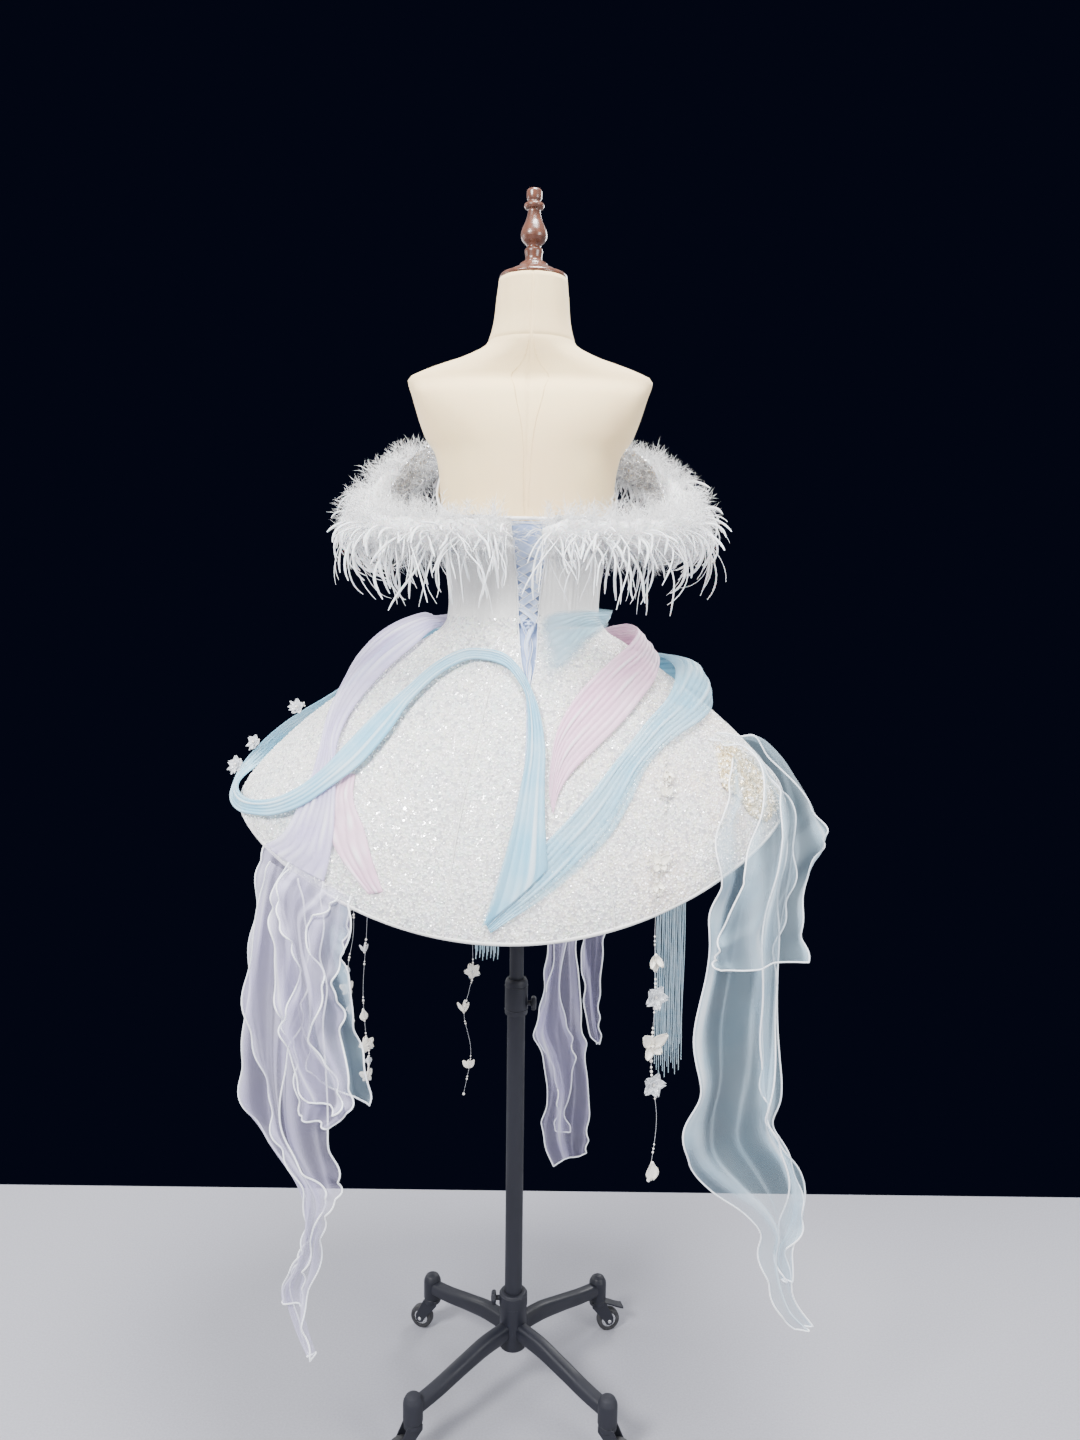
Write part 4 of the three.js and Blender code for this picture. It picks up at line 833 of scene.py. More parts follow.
class DressSizes(bpy.types.PropertyGroup):
    organza_wall: metres("Organza wall", "Thickness of the sheer cloth", 0.0005)
    bodice_wall: metres("Bodice wall", "Thickness of the boned bodice", 0.0018)
    rolled_hem: metres("Rolled hem", "Radius of the corded hem on the streamers", 0.0012)
    hem_wave: metres("Hem wave", "How far the fluted hem waves out", 0.0045)
    ribbon_width: metres("Ribbon width", "Width of the lacing ribbon", 0.0125)
    feather_length: metres("Feather length", "Length of one small plume", 0.026)
    plumes: bpy.props.FloatProperty(
        name="Plumes", description="Plumes on each square metre of the trim", default=33000.0)
    sequin_radius: metres("Sequin radius", "Radius of the sequins in the bands", 0.0021)
    flake_radius: metres("Flake radius", "Radius of the glitter flakes on the skirt", 0.0011)
    bead_radius: metres("Bead radius", "Radius of the beads on the strands", 0.0021)


def colour(name, words, value):
    return bpy.props.FloatVectorProperty(
        name=name, description=words, default=value, size=3, subtype="COLOR", min=0, max=1)


class DressColours(bpy.types.PropertyGroup):
    canvas: colour("Canvas", "Cover of the form", (0.95, 0.73, 0.38))
    walnut: colour("Walnut", "Neck cap and finial", (0.16, 0.055, 0.03))
    satin: colour("Satin", "Bodice", (0.80, 0.79, 0.76))
    glitter: colour("Glitter", "Skirt", (0.80, 0.79, 0.77))
    ribbon: colour("Ribbon", "Lacing and the panel behind it", (0.42, 0.53, 0.82))
    trim: colour("Trim", "Piping and rolled hems", (0.93, 0.94, 0.96))
    feather: colour("Feather", "Feather trim", (0.96, 0.96, 0.97))
    sequin: colour("Net", "Net of the sleeve bands", (0.55, 0.56, 0.60))
    aqua: colour("Aqua", "Blue swags", (0.22, 0.60, 0.82))
    sky: colour("Sky", "Blue streamers and waist drape", (0.50, 0.72, 0.88))
    lavender: colour("Lavender", "Lavender swag", (0.60, 0.53, 0.86))
    haze: colour("Haze", "Lavender streamers", (0.62, 0.58, 0.86))
    pink: colour("Pink", "Pink swags", (0.93, 0.56, 0.78))
    champagne: colour("Champagne", "Beading", (0.70, 0.55, 0.30))
    pearl: colour("Pearl", "Beads", (0.93, 0.90, 0.85))
    petal: colour("Petal", "Flowers", (0.90, 0.83, 0.68))
    string: colour("String", "Tassel strings", (0.45, 0.66, 0.78))
    powder: colour("Powder coat", "Pole and base", (0.010, 0.011, 0.018))
    tyre: colour("Tyre", "Wheels", (0.022, 0.022, 0.025))
    floor: colour("Floor", "Floor under the stand", (0.34, 0.34, 0.385))


class DRESS_OT_stage(bpy.types.Operator):
    """Makes the floor, the soft studio light and the camera"""

    bl_idname = "dress.stage"
    bl_label = "Stage"

    CAMERA = {"place": (0.032, -1.650, 1.290), "down": 6.3, "roll": 0.7, "lens": 27.05}
    LIGHTS = [
        ("key", (-1.7, -2.2, 3.0), 1.0, 215), ("fill", (2.2, -1.8, 1.7), 1.4, 62),
        ("side", (-2.6, 0.6, 1.6), 1.3, 26), ("back", (1.4, 2.4, 2.5), 1.3, 64),
        ("far", (-1.5, 2.3, 1.5), 1.4, 18), ("top", (0.3, -0.5, 3.6), 1.0, 160)]
    AIM = (0, 0, 1.15)
    SKY = {"light": (0.86, 0.88, 0.94, 1), "strength": 0.6, "seen": (0.002, 0.003, 0.010, 1)}

    def execute(self, context):
        self.floor()
        for name, place, side, watts in self.LIGHTS:
            self.light(name, place, side, watts)
        world = bpy.data.worlds.new("Studio")
        world.use_nodes = True
        w = Wires(world.node_tree)
        soft = w.tree.nodes["Background"]
        soft.inputs[0].default_value = self.SKY["light"]
        soft.inputs[1].default_value = self.SKY["strength"]
        dark = w.node("ShaderNodeBackground", {"Color": self.SKY["seen"]})
        seen = w.node("ShaderNodeLightPath").outputs["Is Camera Ray"]
        both = w.node("ShaderNodeMixShader", {0: seen, 1: soft.outputs[0], 2: dark.outputs[0]})
        w.link(both.outputs[0], w.tree.nodes["World Output"].inputs[0])
        context.scene.world = world
        self.camera(context.scene)
        return {"FINISHED"}

    def floor(self):
        half, near, rear = 4.4, -3.6, 0.6
        corners = [(-half, near, 0), (half, near, 0), (half, rear, 0), (-half, rear, 0)]
        Bag().add(corners, [(0, 1, 2, 3)]).make("floor", finish("Floor vinyl"))

    def light(self, name, place, side, watts):
        data = bpy.data.lights.new(name, "AREA")
        data.shape, data.size, data.energy = "DISK", side, watts
        lamp = bpy.data.objects.new(name, data)
        lamp.location = place
        lamp.rotation_mode = "QUATERNION"
        lamp.rotation_quaternion = (Vector(place) - Vector(self.AIM)).to_track_quat("Z", "Y")
        bpy.context.scene.collection.objects.link(lamp)

    def camera(self, scene):
        data = bpy.data.cameras.new("camera")
        data.lens, data.sensor_width, data.sensor_fit = self.CAMERA["lens"], 36, "AUTO"
        data.clip_start, data.clip_end = 0.05, 40
        cam = bpy.data.objects.new("camera", data)
        cam.location = self.CAMERA["place"]
        cam.rotation_mode = "QUATERNION"
        pitch = Quaternion((1, 0, 0), math.radians(90 - self.CAMERA["down"]))
        cam.rotation_quaternion = pitch @ Quaternion((0, 0, 1), math.radians(self.CAMERA["roll"]))
        scene.collection.objects.link(cam)
        scene.camera = cam


class DRESS_OT_form(bpy.types.Operator):
    """Makes the canvas form with its seams, the neck cap and the finial"""

    bl_idname = "dress.form"
    bl_label = "Form"

    SEAMS = [0, 90, 180, 270]
    GROOVE = {"depth": 1.5, "half": 1.9}
    NECK_SEAM = 1668

    def execute(self, context):
        near = [-3.2, -1.6, -0.8, 0, 0.8, 1.6, 3.2]
        phi = np.unique(np.round(np.concatenate([np.arange(0, 360, 2.5), *[
            [(a + d * 0.55) % 360 for d in near] for a in self.SEAMS]]), 3))
        z = np.unique(np.concatenate([np.linspace(FORM_BOTTOM, NECK_TOP, 110),
                                      self.NECK_SEAM + np.array([-2.4, -1.2, 0, 1.2, 2.4])]))
        P, Z = np.meshgrid(phi, z, indexing="xy")
        face = form_point(P, Z)
        normal = outward(lambda p, h: form_point(p, h * 100), P, Z / 100)
        groove = np.zeros_like(P)
        for a in self.SEAMS:
            away = np.abs(((P - a + 180) % 360) - 180)
            reach = away / 180 * np.pi * column(FORM, "z", "side", Z)
            groove = np.maximum(groove, np.exp(-(reach / self.GROOVE["half"]) ** 2))
        groove = np.maximum(groove, 0.7 * np.exp(-((Z - self.NECK_SEAM) / self.GROOVE["half"]) ** 2))
        pad = 0.35 * np.sin(P * 0.21 + Z * 0.013) * np.sin(Z * 0.031 + P * 0.05)
        face = face + normal * (pad - groove * self.GROOVE["depth"])[..., None]
        rows, sides = face.shape[:2]
        points = face.reshape(-1, 3)
        lid = np.array([[axis_x(z[0]), 0, z[0]], [axis_x(z[-1]), 0, z[-1]]])
        n, top = rows * sides, (rows - 1) * sides
        body = grid_faces(rows - 1, sides, around=True)
        ring = np.arange(sides)
        low = np.stack([np.full(sides, n), ring, (ring + 1) % sides], -1)
        high = np.stack([np.full(sides, n + 1), top + (ring + 1) % sides, top + ring], -1)
        everything = np.vstack([points, lid]) * MM
        parts = outside_out(everything, [body, low, high])
        turn = gone_along(face[rows // 2]) * MM
        cloth = np.stack([np.tile(turn, rows), np.repeat(z * MM, sides)], -1)
        cloth = np.vstack([cloth, [[0, 0], [0, 0]]])
        bag = Bag().add(everything, [f for part in parts for f in part], 0, cloth)
        settle(bag.make("form_cover", finish("Canvas")), "form", "canvas", "form_torso")
        self.stitches()
        neck = [float(axis_x(NECK_TOP)), 0, NECK_TOP + SEAM_GAP]
        cap = [(0, 0), (49, 0), (50, 3), (48, 6.4), (40.5, 8.4), (38, 9.6), (33, 13.2), (24, 17.4),
               (21, 19.4), (20, 23), (0, 23)]
        cap = turned(Bag(), rounded(cap, 1.6), neck, 72).make("neck_cap_wood", finish("Walnut"), 40)
        settle(cap, "form", "walnut", "neck_cap")
        knop = [(0, 23.3), (15, 23.3), (15.4, 25.4), (12.6, 27), (12, 31), (12.6, 35), (13.6, 40), (13, 43),
                (10.4, 45), (10, 47), (12, 50), (16.6, 54), (19, 59), (19.4, 63), (18.6, 68), (16, 75),
                (12.6, 82), (10.4, 89), (9, 96), (9.2, 98.6), (13, 100), (15, 103), (14, 106.6), (9.6, 109),
                (9, 111), (10.6, 113), (11.2, 117), (11.2, 124), (9.6, 127), (4, 128.4), (0, 128.6)]
        knop = turned(Bag(), rounded(knop, 0.8, 3), neck, 56).make("finial_wood", finish("Walnut"), 50)
        settle(knop, "form", "walnut", "finial")
        return {"FINISHED"}

    def stitches(self):
        """A running row of stitches down the centre-back seam, above the bodice."""
        bag, step = Bag(), 6.0
        for side in (-1, 1):
            for z in np.arange(1420, 1660, step):
                span = np.array([z, z + step * 0.35, z + step * 0.7])
                phi = side * degrees(3.0, 0) * 117 / column(FORM, "z", "back", span)
                tube(bag, form_point(phi, span) * MM + np.array([0, -0.0002, 0]), 0.0005, 5)
        settle(bag.make("form_stitches", finish("Canvas")), "form", "canvas")


class DRESS_OT_bodice(bpy.types.Operator):
    """Makes the five bodice panels with their boning, piping and stitching"""

    bl_idname = "dress.bodice"
    bl_label = "Bodice"

    BONE = {"half": 4.2, "raise": 0.7}

    def execute(self, context):
        back, side = BODICE_SEAM["back"], BODICE_SEAM["side"]
        c = CENTRE_BACK
        self.panel("bodice_back_left", c - back, c, 120, 36, -1, bones=(c - 34,))
        self.panel("bodice_back_right", c, c + back, 120, 36, 1, bones=(c + 34,))
        self.panel("bodice_side_left", c - side, c - back, 100, 36, bones=(c - 88,))
        self.panel("bodice_side_right", c + back, c + side, 100, 36, bones=(c + 88,))
        self.panel("bodice_front", c + side, c + 360 - side, 220, 40, bones=(c + 150, c + 180, c + 210))
        self.piping()
        return {"FINISHED"}

    def panel(self, name, start, end, nu, nv, lacing=0, bones=()):
        u, w = grid(nu, nv)
        v = w ** 1.15
        probe = mix(BODICE_FOOT, top_s(mix(start, end, u)), v)
        a = lace_edge(probe, 1) if lacing > 0 else seam(start, probe, 1)
        b = lace_edge(probe, -1) if lacing < 0 else seam(end, probe, -1)
        phi = mix(a, b, u)
        s = mix(BODICE_FOOT, top_s(phi), v)
        width = side_at(s) * np.pi / 180
        lift = 0.45 * np.sin(s * 46 + phi * 0.11) * np.exp(-(np.minimum(phi - a, b - phi) * width / 9) ** 2)
        for bone in bones:
            away = (phi - bone) * width / self.BONE["half"]
            lift = lift + self.BONE["raise"] * np.exp(-away ** 4)
        soft = np.sin(phi * width * 0.72 + 2.2 * np.sin(s * 6) + np.sin(phi * 0.3))
        uneven = 0.25 + 0.75 * np.sin(phi * 0.13 + 1.1 * np.sin(s * 3)) ** 2
        lift = lift + 0.3 * soft * uneven * smooth(BODICE_FOOT, -0.05, s)
        sew = np.minimum(phi - a, b - phi) * width
        lift = lift - 0.5 * np.exp(-((sew - 2.6) / 1.0) ** 2)
        outer, inner = dress(phi, s, lift), dress(phi, s, -sizes().bodice_wall / MM)
        obj = shell(Bag(), outer, inner).make(name + "_satin", finish("Satin"), 60)
        settle(obj, "form", "satin", name)
        state_cut(outer)

    def piping(self):
        """The bound top edge, and the bound edges beside the lacing."""
        bag = Bag()
        phi = np.linspace(lace_edge(-0.517, 1), lace_edge(-0.517, -1) + 360, 200)
        tube(bag, dress(phi, top_s(phi) - 0.003, 0.2), 0.0019, 8)
        for sign in (-1, 1):
            s = np.linspace(-0.515, 0.215, 80)
            tube(bag, dress(lace_edge(s, sign) + sign * degrees(0.9, s), s, 0.5), 0.0010, 6)
        s = np.full(24, -0.517)
        phi = np.linspace(lace_edge(s[0], -1), lace_edge(s[0], 1), 24)
        tube(bag, dress(phi, s, 0.0), 0.0024, 10)
        tube(bag, dress(phi, s + 0.022, -1.6), 0.0007, 6)
        settle(bag.make("bodice_piping", finish("White cord")), "form", "satin")
        self.waist()

    def waist(self):
        """The soft turn of the cloth from the bodice onto the skirt."""
        u, v = grid(260, 10)
        phi = mix(float(lace_edge(0, 1)) + 0.6, float(lace_edge(0, -1)) + 359.4, u)
        top = dress(phi, np.full_like(phi, -0.062), -0.3)
        corner = dress(phi, np.full_like(phi, 0.0), 0.4)
        foot = dress(phi, np.full_like(phi, 0.056), -1.0)
        t = v[..., None]
        outer = (1 - t) ** 2 * top + 2 * t * (1 - t) * corner + t * t * foot
        inner = (1 - t) ** 2 * dress(phi, np.full_like(phi, -0.058), -1.2) + 2 * t * (1 - t) * (
            dress(phi, np.full_like(phi, 0.0), -1.0)) + t * t * dress(phi, np.full_like(phi, 0.054), -1.9)
        obj = shell(Bag(), outer, inner).make("waist_turn", finish("Glitter cloth"))
        settle(obj, "form", "glitter")


class DRESS_OT_lacing(bpy.types.Operator):
    """Makes the panel in the lacing gap, the crossed ribbons, their loops, the twist and the tails"""

    bl_idname = "dress.lacing"
    bl_label = "Lacing"

    LACE = {"crossings": 5, "from": -0.41, "to": -0.03}
    TAIL = named(["s", "phi"], [[0.232, 3.7], [0.3, 3.9], [0.4, 3.6], [0.5, 3.1], [0.58, 2.8]])

    def execute(self, context):
        self.modesty()
        self.crossings()
        self.tails()
        return {"FINISHED"}

    def modesty(self):
        u, v = grid(12, 60)
        s = mix(-0.505, 0.2, v)
        half = column(LACE_GAP, "s", "half", s) + 6
        phi = CENTRE_BACK + degrees(mix(-half, half, u), s)
        lift = -2.9 + 0.35 * np.sin(s * 120 + u * 2)
        outer = dress(phi, s, lift)
        obj = shell(Bag(), outer, dress(phi, s, -4.1)).make("modesty_cloth", finish("Panel satin"))
        settle(obj, "form", "ribbon", "modesty_panel")
        state_cut(outer)

    def crossings(self):
        """Each ribbon goes from one edge to the other, over the one that it meets, turn by turn."""
        bag, n = Bag(), self.LACE["crossings"]
        step = (self.LACE["to"] - self.LACE["from"]) / n
        wide = sizes().ribbon_width / MM / 2
        for i in range(n):
            for way in (-1, 1):
                t, v = np.meshgrid(np.linspace(-1, 1, 19), np.linspace(-1, 1, 9), indexing="ij")
                middle = self.LACE["from"] + step * (i + 0.5 + 0.5 * t)
                half = column(LACE_GAP, "s", "half", middle) + 0.6
                slant = np.arctan2(abs(step) * BODICE_DROP, 2 * half)
                taper = wide * mix(1.0, 0.55, i / n)
                s = middle + v * taper * np.cos(slant) / BODICE_DROP
                x = np.clip(way * t * half - way * v * taper * np.sin(slant), -half, half)
                over = 2.2 if (i + (way > 0)) % 2 else 0.2
                lift = -0.9 + over * np.exp(-(t / 0.6) ** 2) + 1.2 * t * t
                lift = lift + 0.35 * np.sin(5 * v + i) * (1 - v * v)
                laid(bag, CENTRE_BACK + degrees(x, s), s, lift, 0.5)
                for edge in (0, -1):
                    phi = CENTRE_BACK + degrees(x[:, edge], s[:, edge])
                    tube(bag, dress(phi, s[:, edge], lift[:, edge] + 0.2), 0.00060, 5, 1)
        for sign in (-1, 1):
            for i in range(n + 1):
                s = self.LACE["from"] + step * i
                w = np.linspace(0, np.pi, 9)
                out = 1.4 - 3.0 * np.sin(w)
                tube(bag, dress(lace_edge(s, sign) + sign * degrees(out, s), s + np.cos(w) * 0.013,
                                1.0 + 0.6 * np.sin(w)), 0.0008, 6, 1)
        self.twist(bag)
        used = [finish(each) for each in ("Satin ribbon", "White cord", "Panel satin")]
        settle(bag.make("lacing_ribbons", used), "form", "ribbon", "lacing")

    def twist(self, bag):
        """The knot under the last crossing, and the two ends twisted round each other below it."""
        for way in (-1, 1):
            w = np.linspace(0, 2 * np.pi, 26)
            s = -0.012 + 0.016 * np.sin(w)
            phi = CENTRE_BACK + degrees(way * 4.2 + 5.0 * np.cos(w), s)
            tube(bag, dress(phi, s, 3.6 + 0.9 * np.cos(w * 2)), 0.0024, 8, 0, 0.6)
        centre = dress(CENTRE_BACK + degrees(np.linspace(-5, 5, 9), 0), np.full(9, -0.010), 5.0)
        tube(bag, centre, 0.0028, 8, 0, 0.6)
        for way in (-1, 1):
            u = np.linspace(0, 1, 60)
            s = mix(-0.01, 0.205, u)
            spin = u * 8.2 + (0 if way > 0 else np.pi)
            swing = np.cos(spin) * mix(5.4, 0.7, u ** 0.8)
            lift = 1.8 + 1.7 * np.sin(spin)
            path = dress(CENTRE_BACK + degrees(swing, s), s, lift)
            # The second end takes the darker panel satin: painted shade in the depth of the twist
            tube(bag, path, mix(4.6, 1.5, u ** 0.8) * MM, 12, 0 if way > 0 else 2, 0.42)
            for edge in (-0.8, 0.8):
                swing2 = swing + edge * mix(4.2, 1.3, u)
                line = dress(CENTRE_BACK + degrees(swing2, s), s, lift + 1.0)
                tube(bag, line, 0.00045, 5, 1)

    def tails(self):
        first, last, half_wide = 0.232, 0.58, 2.6
        for side, shift, stretch in (("left", 0, 1), ("right", 2.2, 0.72)):
            u, v = grid(60, 6)
            t = mix(first, last, u)
            s = first + (t - first) * stretch
            phi = column(self.TAIL, "s", "phi", t) + shift + degrees(mix(-half_wide, half_wide, v), s)
            outer = dress(phi, s, 1.8 + 0.3 * np.sin(u * 30 + v * 2))
            inner = dress(phi, s, 0.6)
            obj = shell(Bag(), outer, inner).make("lace_tail_ribbon_" + side, finish("Satin ribbon"))
            settle(obj, "form", "ribbon", "lace_tail_" + side)


class DRESS_OT_skirt(bpy.types.Operator):
    """Makes the seven skirt gores, their hem binding and the loose glitter flakes"""

    bl_idname = "dress.skirt"
    bl_label = "Skirt"

    def execute(self, context):
        c = CENTRE_BACK
        self.gore("skirt_back_centre_left", c - GORE["back"], c, 12, -1)
        self.gore("skirt_back_centre_right", c, c + GORE["back"], 12, 1)
        self.gore("skirt_back_side_left", c - GORE["side"], c - GORE["back"], 44)
        self.gore("skirt_back_side_right", c + GORE["back"], c + GORE["side"], 44)
        self.gore("skirt_front_side_left", c - GORE["front"], c - GORE["side"], 40)
        self.gore("skirt_front_side_right", c + GORE["side"], c + GORE["front"], 40)
        self.gore("skirt_front_centre", c + GORE["front"], c + 360 - GORE["front"], 40)
        self.seams()
        self.binding()
        return {"FINISHED"}

    def gore(self, name, start, end, nu, lacing=0):
        u, s = grid(nu, 48)
        s = s * (1 - 0.003) + 0.0005
        a = lace_edge(s, 1) if lacing > 0 else seam(start, s, 1)
        b = lace_edge(s, -1) if lacing < 0 else seam(end, s, -1)
        phi = mix(a, b, u)
        sew = np.minimum(phi - a, b - phi) * side_at(s) * np.pi / 180
        buckle = 0.8 * np.sin(phi * 0.19 + s * 5) * np.sin(s * 9 + phi * 0.07) * smooth(0.05, 0.3, s)
        pucker = 0.35 * np.sin(s * 130 + phi) * np.exp(-(sew / 7) ** 2)
        lift = np.minimum(buckle + pucker - 0.45 * np.exp(-((sew - 2.2) / 1.2) ** 2), 0.9)
        outer = dress(phi, s, lift)
        obj = shell(Bag(), outer, dress(phi, s, -CLOTH)).make(name + "_cloth", finish("Glitter cloth"), 60)
        settle(obj, "form", "glitter", name)
        state_cut(outer)
        bag = Bag()
        bag.add(dress(phi, s, lift + 0.25), grid_faces(nu, 48)[:, ::-1])
        seed = sum(ord(ch) for ch in name)
        flakes = scattered(name + "_flakes", bag, "flake", finish("Glitter flake"), Density=21000.0,
                           Size=sizes().flake_radius, Size_change=0.5, Tilt=0.8, Seed=seed)
        settle(flakes, "form", "glitter")

    def seams(self):
        """The raised seams between the gores."""
        bag, c = Bag(), CENTRE_BACK
        s = np.linspace(0.06, 0.995, 90)
        for turn in (-GORE["back"], GORE["back"], -GORE["side"], GORE["side"], -GORE["front"], GORE["front"]):
            tube(bag, dress(c + turn + 0 * s, s, 0.35 + 0.15 * np.sin(s * 90)), 0.0011, 6)
        settle(bag.make("skirt_seams", finish("Satin")), "form", "glitter")

    def binding(self):
        bag = Bag()
        phi = np.linspace(0, 360, 361)[:-1]
        path = dress(phi, np.full_like(phi, 1.0), -1.0)
        t = unit(np.roll(path, -1, 0) - np.roll(path, 1, 0))
        out = unit(np.cross(t, [0, 0, 1.0]))
        up = np.cross(out, t)
        sides = 8
        w = 2 * np.pi * np.arange(sides)[None, :, None] / sides
        ring = 0.0021 * np.cos(w) * out[:, None] + 0.0026 * np.sin(w) * up[:, None]
        points = (path[:, None] + ring).reshape(-1, 3)
        i, j = np.meshgrid(np.arange(len(path)), np.arange(sides), indexing="ij")
        k, m = (i + 1) % len(path), (j + 1) % sides
        faces = np.stack([i * sides + j, k * sides + j, k * sides + m, i * sides + m], -1).reshape(-1, 4)
        bag.add(points, outside_out(points, [faces])[0])
        settle(bag.make("hem_binding", finish("Satin")), "form", "glitter")


# Sleeves
BAND = {"height": 54, "thick": 2.5}
BAND_LINE = [[43, -98.6, 1383], [80, -99, 1382], [115, -95, 1381], [150, -86, 1382], [180, -70, 1386],
             [200, -42, 1395], [208, -8, 1410], [205, 25, 1435], [194, 55, 1465], [174, 80, 1492],
             [150, 95, 1507], [124, 98, 1514]]
FLUFF = {"out": 27, "tall": 44, "past_band": 19}


def chord_spline(points, u):
    """A curve through points with its speed set by their distances, so that it never loops."""
    p = np.asarray(points, float)
    n = len(p) - 1
    q = np.vstack([2 * p[0] - p[1], p, 2 * p[-1] - p[-2]])
    gap = np.linalg.norm(np.diff(q, axis=0), axis=1) ** 0.5
    x = np.clip(np.asarray(u, float), 0, 1) * n
    i = np.minimum(np.floor(x).astype(int), n - 1)
    w = (x - i)[..., None]
    a, b, c, d = q[i], q[i + 1], q[i + 2], q[i + 3]
    g0, g1, g2 = (gap[i + k][..., None] for k in range(3))
    out = ((b - a) / g0 - (c - a) / (g0 + g1) + (c - b) / g1) * g1
    back = ((c - b) / g1 - (d - b) / (g1 + g2) + (d - c) / g2) * g1
    return b + out * w + (3 * (c - b) - 2 * out - back) * w**2 + (2 * (b - c) + out + back) * w**3


def band_at(side, u):
    """Points of a sleeve band's middle line in millimetres, its direction and its way out."""
    line = [[float(axis_x(z)) + side * x, y, z] for x, y, z in BAND_LINE]
    p = chord_spline(line, u)
    t = unit(chord_spline(line, np.clip(u + 0.002, 0, 1)) - chord_spline(line, np.clip(u - 0.002, 0, 1)))
    flat = np.stack([t[..., 1], -t[..., 0], np.zeros_like(t[..., 0])], -1)
    return p, t, unit(flat) * side


def core_at(side, u):
    p, t, out = band_at(side, u)
    size = 0.55 + 0.45 * np.sin(np.pi * np.clip(u * 0.9 + 0.08, 0, 1)) ** 0.5
    reach = (FLUFF["past_band"] * smooth(0.09, 0, u))[..., None]
    return p + out * (BAND["thick"] / 2 + 0.4 + FLUFF["out"] * size)[..., None] - t * reach, t, out, size


class DRESS_OT_sleeves(bpy.types.Operator):
    """Makes the two sequined off-shoulder bands"""

    bl_idname = "dress.sleeves"
    bl_label = "Sleeve bands"

    def execute(self, context):
        for name, side in (("left", -1), ("right", 1)):
            u, v = grid(90, 14)
            p, _, out = band_at(side, u)
            rise = np.zeros_like(p)
            rise[..., 2] = (v - 0.5) * BAND["height"]
            soft = 0.4 * np.sin(u * 70) * np.sin(v * 9)
            outer = (p + out * (BAND["thick"] / 2 + soft)[..., None] + rise) * MM
            inner = (p - out * (BAND["thick"] / 2 - soft)[..., None] + rise) * MM
            obj = shell(Bag(), outer, inner).make("sleeve_band_net_" + name, finish("Silver net"))
            settle(obj, "form", "sequin", "sleeve_band_" + name)
            state_cut(outer)
            inside = np.repeat([0.0, 1.0], u.size)
            discs = scattered(
                "sleeve_sequins_" + name, shell(Bag(), outer, inner), "disc", finish("Silver sequin"), inside,
                Density=62000.0, Size=sizes().sequin_radius, Size_change=0.2, Tilt=0.5, Seed=11 + side)
            settle(discs, "form", "sequin")
        return {"FINISHED"}


